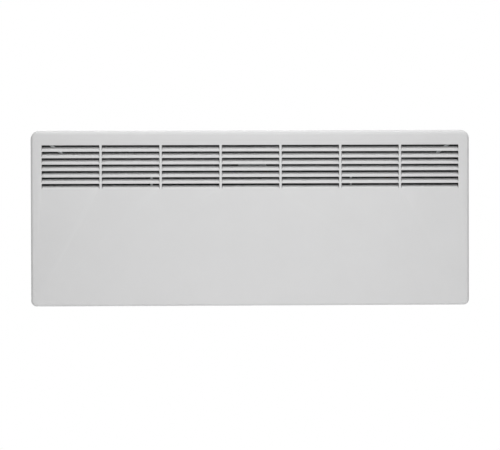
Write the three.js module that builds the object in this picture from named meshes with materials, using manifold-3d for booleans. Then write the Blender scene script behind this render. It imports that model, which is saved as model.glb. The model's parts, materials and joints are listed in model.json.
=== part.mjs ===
// Wall panel convector heater, in millimetres, +Z up.
// The wall is the plane y = 0, the room is towards -Y, and x = 0 and z = 0 are the middle of the panel.
import * as THREE from 'three';
import { mergeVertices } from 'three/addons/utils/BufferGeometryUtils.js';
import Module from 'manifold-3d';

const wasm = await Module();
wasm.setup();

// ---- Driving dimensions ---------------------------------------------------------------------

// Overall
const PANEL_WIDTH = 1000;
const PANEL_HEIGHT = 400;
const PANEL_DEPTH = 25; // front face to the back of the return lip
const CASING_DEPTH = 30; // back of the lip to the back of the rear casing
const WALL_GAP = 30; // back of the rear casing to the wall
const FIT = 0.3; // gap between pieces that touch
const RUNNING = 0.4; // clearance round a piece that moves

// Front panel
const PANEL_SHEET = 1;
const PANEL_LIP = 16;
const ROLL_TOP = 10; // height of the rounded edge, seen from the front
const ROLL_SIDE = 6;
const ROLL_BOTTOM = 5;
const ROLL_DEPTH = 8;
const PANEL_CORNERS = { top: 19, bottom: 13 };

// Grille of pressed louvres
const LOUVRE_ROWS = 7;
const LOUVRE_COLUMNS = 7;
const LOUVRE_PITCH = 14.6;
const LOUVRE_HEIGHT = 12; // slit to hinge line, in the sheet
const LOUVRE_ANGLE = 58; // how far the tongue is pushed in, in degrees
const LOUVRE_BEND = 3;
const LOUVRE_END_GAP = 0.7;
const LOUVRE_TAPER = 2.3; // how far each end of a tongue is drawn in at its tip
const GRILLE_TOP = 33.4; // panel's top edge to the first slit
const GRILLE_SIDE = 24.9; // panel's side edge to the first column
const MULLION = 5.6;

// Rear casing
const CASING_SHEET = 1;
const CASING_INSET = 14;
const CASING_FLANGE = 10;
const CASING_EDGE = 3;
const CASING_CORNERS = { top: 28, bottom: 28 };
const INTAKE_SLOT = { length: 34, width: 5, pitchX: 50, pitchY: 8.5, rows: 3, columns: 15 };
const BEAD = { toSide: 56, width: 16, depth: 3, belowTop: 50, aboveBottom: 20 };

// Inner sheet metal
const SHIELD = { toControl: 33.2, aboveBottom: 36, rise: 85, stand: 9.6, sheet: 0.8, foot: 12, bend: 3 };
const DEFLECTOR = { toSide: 16, notch: 40, reach: 25, sheet: 0.8 };
const DEFLECTOR_DROPS = { foot: 85, knee: 73, crown: 13 }; // below the top of the casing, inside
const DEFLECTOR_CUT = { inset: 15, drop: 21, slope: 0.79 }; // the turned edge at each end
const DEFLECTOR_FLANGE = 16;
const TURNED_EDGE = { height: 8, sheet: 1.2 };
const REFLECTOR = { half: 200, below: 62, above: 62, stand: 4.6, sheet: 0.6, foot: 12 };

// Heating element
const ELEMENT_AXIS = { behindFront: 31, belowTop: 215 };
const ELEMENT_BRACKET = { x: 228, below: 50, toDeflector: 5, sheet: 1.2, foot: 13, lip: 5, toShield: 2 };
const BRACKET_WINDOW = { aboveAxis: 44, belowTop: 21, width: 20, corner: 8 };
const SHEATH = { radius: 4.3, half: 262 };
const PROFILE = { boss: 8, arm: 43, sheet: 2, lean: 15, ribs: 4, ribPitch: 8, rib: 4 };
const BUSHING = { neck: 7.7, flange: 11, flangeDepth: 2, out: 4 };
const INSULATOR = { radius: 3.6, length: 10 };
const TERMINAL = { radius: 1.5, length: 24, blade: 6.3, bladeLength: 9 };

// Overheat cut-out
const CUTOUT_BRACKET = { width: 75, drop: 65, foot: 16, reach: 14.5, lip: 5, sheet: 1 };
const CUTOUT = { radius: 7.5, flange: 9, flangeDepth: 1, height: 9, fromFront: 30, tab: 15, tabDrop: 6.8 };
const TAB = { width: 4.8, sheet: 0.8 };

// Control unit, let into the right side wall of the rear casing
const CONTROL_DROP = 175; // below the top of the casing, inside
const HOUSING = { depth: 36, width: 19, height: 90, wall: 1.5, flange: 3, flangeDepth: 1.6, corner: 3 };
const COVER = { sheet: 1.5, plug: 2, leadHole: 2.4 };
const BOARD = { back: 20, thickness: 1.6, bottom: 1 };
const LEAD_ENTRIES = { supply: -28, element: 8, sensor: 21, cutout: 34 };
const POT = { radius: 7, length: 8.1, z: 28, socket: 5, chamfer: 1 };
const SPINDLE = { radius: 3, out: 9.3, flat: 1.8 };
const KNOB = { radius: 9.5, height: 9.2, crown: 1.6, lift: 0.5, taper: 0.3, sides: 24 };
const KNOB_FLUTE = { count: 12, width: 1.5, start: 2 };
const KNOB_MARK = { width: 1, depth: 0.6 };
const LENS = { radius: 2, back: 4, z: 9 };
const SWITCH = { width: 12, height: 20, depth: 16, flange: 1.5, flangeDepth: 1.4, z: -22 };
const SWITCH_TAB = { length: 6, pitch: 12 };
const ROCKER = { width: 9, half: 8, thickness: 4.6, dip: 1.2, keel: 3, swing: 9 };
const ROCKER_PIN = { radius: 1.1, length: 10.4, out: 0.4 };

// Supply side
const SUPPLY_INSET = 37; // side wall to the middle of the gland and the terminal block
const TERMINAL_BLOCK = { width: 34, depth: 14, height: 16, aboveBottom: 28, poles: 3, screw: 3 };
const BLOCK_SLIT = { width: 1.2, depth: 3 };
const GLAND = { neck: 8, bore: 4, flange: 11, dome: 10.4, inside: 7 };
const GLAND_DOME = { nose: 7.3, taper: 3, clear: 2, shoulder: 3 };
const GLAND_NUT = { radius: 12, height: 4.5 };
const SENSOR = { inset: 25, radius: 2.7, length: 26, height: 7 };
const SENSOR_CLIP = { width: 12, depth: 10, height: 11 };
const LEAD = { radius: 1.4, sides: 6, steps: 22, straight: 4, through: 10 };
const SUPPLY_LEAD = { rise: 20, stand: 12, low: 50, turn: 12, bow: 2 };
const SENSOR_LEAD = { forward: 10, beside: 8, lift: 3, foot: 30, waist: 100, turn: 20 };
const ELEMENT_LEAD = { fall: 60, lift: 10, straight: 20 };
const CUTOUT_LEAD = { over: 4, sag: 10, fall: 90, before: 30, after: 60, dip: 2, turn: 30, straight: 12 };
const RETURN_LEAD = { drop: 30, bow: 36, waist: 40, turn: 24, lift: 6 };
const GROMMET = { radius: 6, groove: 4.6, bore: 2.4, length: 4, chamfer: 0.8 };
const GROMMET_DROPS = { lower: 50, upper: 13 }; // below the top of the shield

// Wall bracket
const BRACKET = { half: 160, sheet: 1.5, depth: 24, belowTop: 8, backFlange: 28, frontFlange: 18, bend: 2.2 };
const CROSSBAR = { height: 44, flange: 10 };
const WALL_HOLE = { radius: 3.2, belowTop: 58, aboveBottom: 66 };
const HOOK = { nose: 3, tab: 3, tabRise: 5, sideGap: 0.5 };
const TILT_RANGE = 25;
const BUFFER = { radius: 8, crown: 5.6, edge: 2, belowTop: 74, aboveBottom: 36 };
const CATCH = { belowTop: 36, sheet: 2, hub: 7 };
const CATCH_WING = { length: 24, width: 10, corner: 2 };
const CATCH_LEVER = { length: 44, width: 9 };
const CATCH_PIN = { radius: 3, head: 5, headDepth: 1.2, headTop: 4, tail: 1 };
const KEEPER = { height: 16, sheet: 1.2, clearance: 0.8, gap: 2, foot: 12 };

// ---- Planes that the pieces share -----------------------------------------------------------

const halfWidth = PANEL_WIDTH / 2;
const halfHeight = PANEL_HEIGHT / 2;
const casingBack = -WALL_GAP;
const lipBack = casingBack - CASING_DEPTH;
const frontFace = lipBack - PANEL_DEPTH;
const innerFront = frontFace + PANEL_SHEET;
const innerBack = casingBack - CASING_SHEET;
const backSeat = innerBack - FIT;
const casingSide = halfWidth - CASING_INSET;
const casingTop = halfHeight - CASING_INSET;
const casingBottom = -casingTop;
const casingTopInside = casingTop - CASING_SHEET;
const flangeFront = lipBack + FIT;
const flangeBack = flangeFront + CASING_SHEET;
const controlY = (flangeBack + casingBack - CASING_EDGE) / 2;
const controlZ = casingTopInside - CONTROL_DROP;
const coverBack = casingSide - HOUSING.depth - FIT - COVER.sheet;
const elementY = frontFace + ELEMENT_AXIS.behindFront;
const elementZ = casingTopInside - ELEMENT_AXIS.belowTop;
const shieldY = innerFront + SHIELD.stand;
const shieldHalf = coverBack - SHIELD.toControl;
const shieldTop = elementZ + SHIELD.rise;
const sensorX = shieldHalf - SENSOR.inset;
const supplyX = casingSide - SUPPLY_INSET;
const bracketTop = casingTop - BRACKET.belowTop;
const bracketFront = -BRACKET.depth;
const catchX = BRACKET.half + BRACKET.frontFlange / 2;
const catchZ = bracketTop - CATCH.belowTop;
const pivotY = flangeBack + HOOK.nose + RUNNING;
const pivotZ = casingBottom - FIT - HOOK.nose;

// ---- Small tools ----------------------------------------------------------------------------

const CIRCLE = 16;
const SMALL_CIRCLE = 12;
const ARC_STEPS = 2;
const radians = THREE.MathUtils.degToRad;

/** A closed geometry as a solid, with shared corners merged and its faces pointing out. */
function solid(geometry) {
  const bare = new THREE.BufferGeometry();
  bare.setAttribute('position', geometry.attributes.position);
  bare.setIndex(geometry.index);
  const merged = mergeVertices(bare, 1e-4);
  const points = merged.attributes.position.array;
  const index = merged.index.array;
  const faces = [];
  let volume = 0;
  const [a, b, c] = [new THREE.Vector3(), new THREE.Vector3(), new THREE.Vector3()];
  for (let i = 0; i < index.length; i += 3) {
    const [p, q, r] = index.slice(i, i + 3);
    if (p === q || q === r || r === p) continue;
    faces.push([p, q, r]);
    a.fromArray(points, 3 * p);
    b.fromArray(points, 3 * q);
    c.fromArray(points, 3 * r);
    volume += a.dot(b.cross(c));
  }
  const outward = volume > 0 ? faces : faces.map((face) => [...face].reverse());
  return new wasm.Manifold(
    new wasm.Mesh({
      numProp: 3,
      vertProperties: new Float32Array(points),
      triVerts: new Uint32Array(outward.flat()),
    }),
  );
}

const join = (...bodies) => bodies.flat().reduce((whole, body) => whole.add(body));
const cut = (base, ...tools) => tools.flat().reduce((rest, tool) => rest.subtract(tool), base);

/** A named mesh with its own material. */
function piece(name, body, [color, roughness, metalness]) {
  const { vertProperties, triVerts } = body.getMesh();
  const geometry = new THREE.BufferGeometry();
  geometry.setAttribute('position', new THREE.BufferAttribute(vertProperties, 3));
  geometry.setIndex(new THREE.BufferAttribute(triVerts, 1));
  geometry.computeVertexNormals();
  const mesh = new THREE.Mesh(geometry, new THREE.MeshStandardMaterial({ color, roughness, metalness }));
  mesh.name = name;
  return mesh;
}

/** A box from its low and high limits on each axis. */
function block([x0, x1], [y0, y1], [z0, z1]) {
  const box = new THREE.BoxGeometry(x1 - x0, y1 - y0, z1 - z0);
  return solid(box.translate((x0 + x1) / 2, (y0 + y1) / 2, (z0 + z1) / 2));
}

const around = (middle, size) => [middle - size / 2, middle + size / 2];

/** The span between two distances from the middle, on the side -1 or +1. */
const onSide = (side, near, far) => [side * near, side * far].sort((a, b) => a - b);

function shapeOf(outline) {
  if (outline instanceof THREE.Shape) return outline;
  return new THREE.Shape(outline.map(([a, b]) => new THREE.Vector2(a, b)));
}

function extrusion(outline, depth) {
  const options = { depth, bevelEnabled: false, curveSegments: ARC_STEPS };
  return new THREE.ExtrudeGeometry(shapeOf(outline), options);
}

const TO_X = new THREE.Matrix4().makeBasis(
  new THREE.Vector3(0, 1, 0),
  new THREE.Vector3(0, 0, 1),
  new THREE.Vector3(1, 0, 0),
);
const TO_Y = new THREE.Matrix4().makeBasis(
  new THREE.Vector3(1, 0, 0),
  new THREE.Vector3(0, 0, 1),
  new THREE.Vector3(0, -1, 0),
);

/** A prism along X of an outline in (y, z), as a geometry. */
const barX = (outline, [x0, x1]) => extrusion(outline, x1 - x0).applyMatrix4(TO_X).translate(x0, 0, 0);

/** A prism along Y of an outline in (x, z), as a geometry. */
const barY = (outline, [y0, y1]) => extrusion(outline, y1 - y0).applyMatrix4(TO_Y).translate(0, y1, 0);

const prismX = (outline, span) => solid(barX(outline, span));
const prismY = (outline, span) => solid(barY(outline, span));

/** A prism along Z of an outline in (x, y). */
const prismZ = (outline, [z0, z1]) => solid(extrusion(outline, z1 - z0).translate(0, 0, z0));

const TURNS = {
  x: (geometry) => geometry.rotateZ(-Math.PI / 2),
  y: (geometry) => geometry,
  z: (geometry) => geometry.rotateX(Math.PI / 2),
};

/** A turned body about an axis through a point, from (radius, distance along the axis) pairs. */
function turned(axis, [x, y, z], profile, sides = CIRCLE) {
  const points = profile.map(([radius, along]) => new THREE.Vector2(radius, along));
  return solid(TURNS[axis](new THREE.LatheGeometry(points, sides)).translate(x, y, z));
}

/** A plain round bar along an axis. */
function rod(axis, at, radius, [low, high], sides = CIRCLE) {
  return turned(axis, at, [[0, low], [radius, low], [radius, high], [0, high]], sides);
}

/** A round ring along an axis. */
function sleeve(axis, at, bore, radius, [low, high], sides = CIRCLE) {
  return turned(axis, at, [[bore, low], [radius, low], [radius, high], [bore, high], [bore, low]], sides);
}

/** A rectangle with rounded corners, centred on (a, b). */
function roundedRectangle(a, b, width, height, radius) {
  const [left, right] = around(a, width);
  const [low, high] = around(b, height);
  const shape = new THREE.Shape();
  shape.moveTo(left + radius, low);
  shape.lineTo(right - radius, low);
  shape.absarc(right - radius, low + radius, radius, -Math.PI / 2, 0);
  shape.absarc(right - radius, high - radius, radius, 0, Math.PI / 2);
  shape.absarc(left + radius, high - radius, radius, Math.PI / 2, Math.PI);
  shape.absarc(left + radius, low + radius, radius, Math.PI, 1.5 * Math.PI);
  return shape;
}

/** A slot with round ends along its first axis, centred on (a, b). */
function slotOutline(a, b, length, width) {
  const radius = width / 2;
  const reach = length / 2 - radius;
  const shape = new THREE.Shape();
  shape.moveTo(a - reach, b - radius);
  shape.absarc(a + reach, b, radius, -Math.PI / 2, Math.PI / 2);
  shape.absarc(a - reach, b, radius, Math.PI / 2, 1.5 * Math.PI);
  return shape;
}

const BEND_STEPS = 2;

/** The middle line of a folded sheet, with each bend as an arc. */
function bentLine(path, radius) {
  const corners = path.map(([a, b]) => new THREE.Vector2(a, b));
  const line = [corners[0]];
  for (let i = 1; i < corners.length - 1; i += 1) {
    const back = corners[i - 1].clone().sub(corners[i]).normalize();
    const ahead = corners[i + 1].clone().sub(corners[i]).normalize();
    const turn = Math.PI - Math.acos(THREE.MathUtils.clamp(back.dot(ahead), -1, 1));
    const middle = back.clone().add(ahead).normalize().multiplyScalar(radius / Math.cos(turn / 2));
    const centre = corners[i].clone().add(middle);
    const start = corners[i].clone().addScaledVector(back, radius * Math.tan(turn / 2));
    const side = Math.sign(ahead.cross(back));
    for (let k = 0; k <= BEND_STEPS; k += 1) {
      line.push(start.clone().rotateAround(centre, (side * turn * k) / BEND_STEPS));
    }
  }
  line.push(corners.at(-1));
  return line;
}

/** The outline of a folded sheet of one thickness that follows a path. */
function foldedSheet(path, thickness, radius = 1.5 * thickness) {
  const line = bentLine(path, radius);
  const sides = [[], []];
  line.forEach((point, i) => {
    const into = point.clone().sub(line[Math.max(i - 1, 0)]).normalize();
    const out = line[Math.min(i + 1, line.length - 1)].clone().sub(point).normalize();
    const along = into.clone().add(out).normalize();
    const half = into.length() && out.length() ? Math.sqrt((1 + into.dot(out)) / 2) : 1;
    const offset = new THREE.Vector2(-along.y, along.x).multiplyScalar(thickness / 2 / half);
    sides[0].push(point.clone().add(offset).toArray());
    sides[1].unshift(point.clone().sub(offset).toArray());
  });
  return sides.flat();
}

// ---- Lofted trays ---------------------------------------------------------------------------

const CORNER_STEPS = 5;
const CORNER_LEAST = 0.5;

/** One ring of a tray: the panel's outline drawn in by an inset at each edge, at depth y. */
function trayRing(y, inset, corners) {
  const ring = [];
  for (const [sideX, sideZ, quarter] of [[1, -1, -1], [1, 1, 0], [-1, 1, 1], [-1, -1, 2]]) {
    const insetZ = sideZ > 0 ? inset.top : inset.bottom;
    const radius = sideZ > 0 ? corners.top : corners.bottom;
    const radiusX = Math.max(radius - inset.side, CORNER_LEAST);
    const radiusZ = Math.max(radius - insetZ, CORNER_LEAST);
    const centreX = sideX * (halfWidth - inset.side - radiusX);
    const centreZ = sideZ * (halfHeight - insetZ - radiusZ);
    for (let k = 0; k <= CORNER_STEPS; k += 1) {
      const angle = (quarter + k / CORNER_STEPS) * (Math.PI / 2);
      ring.push([centreX + radiusX * Math.cos(angle), y, centreZ + radiusZ * Math.sin(angle)]);
    }
  }
  return ring;
}

/** A closed body through a list of rings with as many points each, capped at both ends. */
function loft(rings) {
  const count = rings[0].length;
  const points = rings.flat();
  const middles = [rings[0], rings.at(-1)].map((ring) => [0, ring[0][1], 0]);
  const index = [];
  for (let k = 0; k < count; k += 1) {
    const next = (k + 1) % count;
    for (let ring = 0; ring < rings.length - 1; ring += 1) {
      const low = ring * count;
      const high = low + count;
      index.push(low + k, low + next, high + next, low + k, high + next, high + k);
    }
    const last = (rings.length - 1) * count;
    index.push(points.length, next, k);
    index.push(points.length + 1, last + k, last + next);
  }
  const geometry = new THREE.BufferGeometry();
  geometry.setAttribute('position', new THREE.Float32BufferAttribute([...points, ...middles].flat(), 3));
  geometry.setIndex(index);
  return solid(geometry);
}

const even = (inset) => ({ top: inset, side: inset, bottom: inset });
const ROLL_STEPS = 4;

/** The rounded edge of the panel as rings, for the outer skin or for the one a sheet further in. */
function rollRings(skin) {
  const rings = [];
  for (let k = 0; k <= ROLL_STEPS; k += 1) {
    const angle = (k / ROLL_STEPS) * (Math.PI / 2);
    const draw = (roll) => skin + (roll - skin) * (1 - Math.sin(angle));
    const inset = { top: draw(ROLL_TOP), side: draw(ROLL_SIDE), bottom: draw(ROLL_BOTTOM) };
    const y = frontFace + skin + (ROLL_DEPTH - skin) * (1 - Math.cos(angle));
    rings.push(trayRing(y, inset, PANEL_CORNERS));
  }
  return rings;
}

function panelTray() {
  return loft([
    ...rollRings(0),
    trayRing(lipBack, even(0), PANEL_CORNERS),
    trayRing(lipBack, even(PANEL_LIP), PANEL_CORNERS),
    trayRing(lipBack - PANEL_SHEET, even(PANEL_LIP), PANEL_CORNERS),
    trayRing(lipBack - PANEL_SHEET, even(PANEL_SHEET), PANEL_CORNERS),
    ...rollRings(PANEL_SHEET).reverse(),
  ]);
}

// ---- Grille ---------------------------------------------------------------------------------

const grilleWidth = PANEL_WIDTH - 2 * GRILLE_SIDE;
const louvreWidth = (grilleWidth - (LOUVRE_COLUMNS - 1) * MULLION) / LOUVRE_COLUMNS;

/** A louvre's tongue: up from its hinge line, bent in, as long as its slit is high. */
function tongue({ hinge, span: [left, right] }) {
  const angle = radians(LOUVRE_ANGLE);
  const knee = LOUVRE_BEND * Math.tan(angle / 2);
  const straight = LOUVRE_HEIGHT - LOUVRE_BEND * angle + knee;
  const middle = frontFace + PANEL_SHEET / 2;
  const tip = [middle + straight * Math.sin(angle), knee + straight * Math.cos(angle)];
  const section = foldedSheet([[middle, -PANEL_SHEET / 2], [middle, knee], tip], PANEL_SHEET, LOUVRE_BEND);
  const half = (right - left) / 2 - LOUVRE_END_GAP;
  const sheet = barX(section, [-half, half]);
  const points = sheet.attributes.position;
  for (let i = 0; i < points.count; i += 1) {
    const share = Math.max(points.getZ(i), 0) / tip[1];
    points.setX(i, points.getX(i) * (1 - (share * LOUVRE_TAPER) / half));
  }
  return solid(sheet.translate((left + right) / 2, 0, hinge));
}

/** The places of the louvres: each one's span along X and its hinge line. */
function louvrePlaces() {
  const places = [];
  for (let row = 0; row < LOUVRE_ROWS; row += 1) {
    const hinge = halfHeight - GRILLE_TOP - row * LOUVRE_PITCH - LOUVRE_HEIGHT;
    for (let column = 0; column < LOUVRE_COLUMNS; column += 1) {
      const left = -grilleWidth / 2 + column * (louvreWidth + MULLION);
      places.push({ hinge, span: [left, left + louvreWidth] });
    }
  }
  return places;
}

function frontPanel() {
  const through = [frontFace - FIT, innerFront + FIT];
  const slots = louvrePlaces().map(({ hinge, span }) => block(span, through, [hinge, hinge + LOUVRE_HEIGHT]));
  return join(cut(panelTray(), slots), louvrePlaces().map(tongue));
}

// ---- Rear casing ----------------------------------------------------------------------------

function casingTray() {
  const inset = (value) => even(CASING_INSET + value);
  return loft([
    trayRing(casingBack, inset(CASING_EDGE), CASING_CORNERS),
    trayRing(casingBack - CASING_EDGE / 3, inset(CASING_EDGE / 3), CASING_CORNERS),
    trayRing(casingBack - CASING_EDGE, inset(0), CASING_CORNERS),
    trayRing(flangeBack, inset(0), CASING_CORNERS),
    trayRing(flangeBack, inset(-CASING_FLANGE), CASING_CORNERS),
    trayRing(flangeFront, inset(-CASING_FLANGE), CASING_CORNERS),
    trayRing(flangeFront, inset(CASING_SHEET), CASING_CORNERS),
    trayRing(casingBack - CASING_EDGE, inset(CASING_SHEET), CASING_CORNERS),
    trayRing(innerBack, inset(CASING_EDGE), CASING_CORNERS),
  ]);
}

/** A pressed stiffening bead in the back: its section drawn in by an amount on every side. */
function beadBody(z, skin) {
  const half = BEAD.width / 2 - skin;
  const [low, high] = [casingBack + FIT, casingBack - BEAD.depth];
  const end = casingSide - BEAD.toSide - skin;
  const deep = high + skin - CASING_SHEET;
  const flank = half - BEAD.depth;
  return prismX([[low, z - half], [low, z + half], [deep, z + flank], [deep, z - flank]], [-end, end]);
}

function casingBeads(tray) {
  const heights = [casingTop - BEAD.belowTop, casingBottom + BEAD.aboveBottom];
  const pressed = heights.map((z) => cut(beadBody(z, 0), block(
    [-halfWidth, halfWidth],
    [casingBack, casingBack + BEAD.depth],
    [z - BEAD.width, z + BEAD.width],
  )));
  const grooves = heights.map((z) => beadBody(z, CASING_SHEET));
  return cut(join(tray, pressed), grooves);
}

/** The air intake: rows of rounded slots in the bottom wall. */
function intakeSlots() {
  const slots = [];
  const middle = (INTAKE_SLOT.columns - 1) / 2;
  for (let row = 0; row < INTAKE_SLOT.rows; row += 1) {
    const y = controlY + (row - (INTAKE_SLOT.rows - 1) / 2) * INTAKE_SLOT.pitchY;
    for (let column = 0; column < INTAKE_SLOT.columns; column += 1) {
      const x = (column - middle) * INTAKE_SLOT.pitchX;
      const outline = slotOutline(x, y, INTAKE_SLOT.length, INTAKE_SLOT.width);
      slots.push(prismZ(outline, [casingBottom - FIT, casingBottom + 2 * CASING_SHEET]));
    }
  }
  return slots;
}

/** A slot in the bottom wall that the hook's tab fills, as long as the tilt needs. */
function hookSlot(side) {
  const x = side * (BRACKET.half + BRACKET.sheet / 2);
  const rise = HOOK.nose + FIT + CASING_SHEET;
  const lean = radians(TILT_RANGE);
  const front = pivotY - HOOK.tab / 2 - RUNNING;
  const back = pivotY + rise * Math.tan(lean) + HOOK.tab / 2 / Math.cos(lean) + RUNNING;
  const wide = BRACKET.sheet + 2 * HOOK.sideGap;
  return block(around(x, wide), [front, back], [casingBottom - FIT, casingBottom + 2 * CASING_SHEET]);
}

function rearCasing() {
  const side = [casingSide - 2 * CASING_SHEET, casingSide + FIT];
  const controlHole = prismX(roundedRectangle(
    controlY,
    controlZ,
    HOUSING.width + 2 * FIT,
    HOUSING.height + 2 * FIT,
    HOUSING.corner,
  ), side);
  const glandHole = rod('z', [supplyX, controlY, casingBottom], GLAND.neck + FIT, [-FIT, 2 * CASING_SHEET]);
  return cut(casingBeads(casingTray()), intakeSlots(), hookSlot(-1), hookSlot(1), controlHole, glandHole);
}

// ---- Inner sheet metal ----------------------------------------------------------------------

const grommetHeights = {
  lower: shieldTop - GROMMET_DROPS.lower,
  upper: shieldTop - GROMMET_DROPS.upper,
};

/** The sheet that stands before the element and closes the warm air's channel at both ends. */
function convectionShield() {
  const foot = backSeat - SHIELD.sheet / 2;
  const path = [
    [-shieldHalf - SHIELD.foot, foot],
    [-shieldHalf, foot],
    [-shieldHalf, shieldY],
    [shieldHalf, shieldY],
    [shieldHalf, foot],
    [shieldHalf + SHIELD.foot, foot],
  ];
  const sheet = prismZ(
    foldedSheet(path, SHIELD.sheet, SHIELD.bend),
    [casingBottom + SHIELD.aboveBottom, shieldTop],
  );
  const holes = Object.values(grommetHeights).map((z) => (
    rod('x', [shieldHalf, elementY, z], GROMMET.groove + FIT, [-SHIELD.foot, SHIELD.foot])));
  return cut(sheet, holes);
}

const deflectorFoot = backSeat - DEFLECTOR.sheet / 2;
const deflectorHalf = casingSide - DEFLECTOR.toSide;
const deflectorWaist = deflectorHalf - DEFLECTOR.notch;
const deflectorZ = {
  foot: casingTopInside - DEFLECTOR_DROPS.foot,
  knee: casingTopInside - DEFLECTOR_DROPS.knee,
  crown: casingTopInside - DEFLECTOR_DROPS.crown,
};
const deflectorRise = deflectorZ.crown - deflectorZ.knee;
const deflectorAt = (z) => deflectorFoot - (DEFLECTOR.reach * (z - deflectorZ.knee)) / deflectorRise;

/** The end of the deflector that is cut away beyond its turned edge. */
function deflectorEnd(side) {
  const far = 2 * halfWidth;
  const cutX = deflectorHalf - DEFLECTOR_CUT.inset;
  const cutZ = casingTopInside - DEFLECTOR_CUT.drop;
  const edgeAt = (z) => cutX + (z - cutZ) / DEFLECTOR_CUT.slope;
  const edgeHeight = (x) => cutZ + (x - cutX) * DEFLECTOR_CUT.slope;
  const waist = edgeHeight(deflectorWaist);
  const crown = Math.min(edgeHeight(deflectorHalf), deflectorZ.crown);
  const low = deflectorZ.foot - DEFLECTOR.sheet;
  const out = side * TURNED_EDGE.sheet;
  const edge = [
    [side * deflectorWaist, waist],
    [side * edgeAt(crown), crown],
    [side * edgeAt(crown) - out, crown],
    [side * deflectorWaist - out, waist],
  ];
  const waste = [
    [side * deflectorWaist, low],
    [side * deflectorWaist, waist],
    [side * edgeAt(crown), crown],
    [side * far, crown],
    [side * far, low],
  ];
  return { edge, waste };
}

/** The sheet that turns the rising air forward to the louvres. */
function airDeflector() {
  const top = casingTopInside - FIT - DEFLECTOR.sheet / 2;
  const crown = deflectorAt(deflectorZ.crown);
  const path = [
    [deflectorFoot, deflectorZ.foot],
    [deflectorFoot, deflectorZ.knee],
    [crown, deflectorZ.crown],
    [crown, top],
    [crown + DEFLECTOR_FLANGE, top],
  ];
  const sheet = prismX(foldedSheet(path, DEFLECTOR.sheet), [-deflectorHalf, deflectorHalf]);
  const depth = [innerFront, casingBack];
  const band = [
    [deflectorFoot, deflectorZ.knee],
    [crown, deflectorZ.crown],
    [crown - TURNED_EDGE.height, deflectorZ.crown],
    [deflectorFoot - TURNED_EDGE.height, deflectorZ.knee],
  ];
  const reach = prismX(band, [-halfWidth, halfWidth]);
  return [-1, 1].reduce((body, side) => {
    const { edge, waste } = deflectorEnd(side);
    return cut(body, prismY(waste, depth)).add(prismY(edge, depth).intersect(reach));
  }, sheet);
}

/** The bright sheet that stands off the back, behind the element. */
function rearReflector() {
  const foot = backSeat - REFLECTOR.sheet / 2;
  const stand = foot - REFLECTOR.stand;
  const bottom = elementZ - REFLECTOR.below;
  const top = elementZ + REFLECTOR.above;
  const path = [
    [foot, bottom],
    [foot, bottom + REFLECTOR.foot],
    [stand, bottom + REFLECTOR.foot + REFLECTOR.stand],
    [stand, top - REFLECTOR.foot - REFLECTOR.stand],
    [foot, top - REFLECTOR.foot],
    [foot, top],
  ];
  return prismX(foldedSheet(path, REFLECTOR.sheet), [-REFLECTOR.half, REFLECTOR.half]);
}

// ---- Heating element ------------------------------------------------------------------------

const elementAt = [0, elementY, elementZ];
const bracketOuter = ELEMENT_BRACKET.x + ELEMENT_BRACKET.sheet / 2;
const bracketInner = ELEMENT_BRACKET.x - ELEMENT_BRACKET.sheet / 2;
const profileEnd = bracketInner - FIT - BUSHING.flangeDepth - FIT;
const elementBracketTop = deflectorZ.foot - ELEMENT_BRACKET.toDeflector;

/** A folded plate that holds one end of the element, with a foot on the back of the casing. */
function elementBracket(side) {
  const foot = backSeat - ELEMENT_BRACKET.sheet / 2;
  const front = shieldY + SHIELD.sheet / 2 + ELEMENT_BRACKET.toShield;
  const path = [
    [side * (ELEMENT_BRACKET.x + ELEMENT_BRACKET.foot), foot],
    [side * ELEMENT_BRACKET.x, foot],
    [side * ELEMENT_BRACKET.x, front],
    [side * (ELEMENT_BRACKET.x - ELEMENT_BRACKET.lip), front],
  ];
  const span = [elementZ - ELEMENT_BRACKET.below, elementBracketTop];
  const plate = prismZ(foldedSheet(path, ELEMENT_BRACKET.sheet), span);
  const through = [side * ELEMENT_BRACKET.x - BUSHING.out, side * ELEMENT_BRACKET.x + BUSHING.out];
  const low = elementZ + BRACKET_WINDOW.aboveAxis;
  const high = elementBracketTop - BRACKET_WINDOW.belowTop;
  const corner = Math.min(BRACKET_WINDOW.corner, (high - low) / 2 - FIT);
  const window = roundedRectangle(elementY, (low + high) / 2, BRACKET_WINDOW.width, high - low, corner);
  return cut(plate, rod('x', elementAt, BUSHING.neck + FIT, through), prismX(window, through));
}

/** The extruded aluminium body: a boss with four leaning arms, each with short ribs. */
function elementProfile() {
  const span = [-profileEnd, profileEnd];
  const fins = [];
  for (const up of [-1, 1]) {
    for (const back of [-1, 1]) {
      const lean = radians(PROFILE.lean);
      const tip = new THREE.Vector2(back * Math.sin(lean), up * Math.cos(lean));
      const end = tip.clone().multiplyScalar(PROFILE.arm);
      const start = tip.clone().multiplyScalar(SHEATH.radius + PROFILE.sheet);
      const arm = [start, end].map((point) => [elementY + point.x, elementZ + point.y]);
      fins.push(prismX(foldedSheet(arm, PROFILE.sheet), span));
      for (let rib = 0; rib < PROFILE.ribs; rib += 1) {
        const root = tip.clone().multiplyScalar(PROFILE.arm - PROFILE.sheet / 2 - rib * PROFILE.ribPitch);
        const y = elementY + root.x;
        const z = elementZ + root.y;
        fins.push(prismX(foldedSheet([[y, z], [y + back * PROFILE.rib, z]], PROFILE.sheet / 2), span));
      }
    }
  }
  const bore = rod('x', elementAt, SHEATH.radius + FIT, [-profileEnd - FIT, profileEnd + FIT]);
  return cut(join(rod('x', elementAt, PROFILE.boss, span), fins), bore);
}

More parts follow.
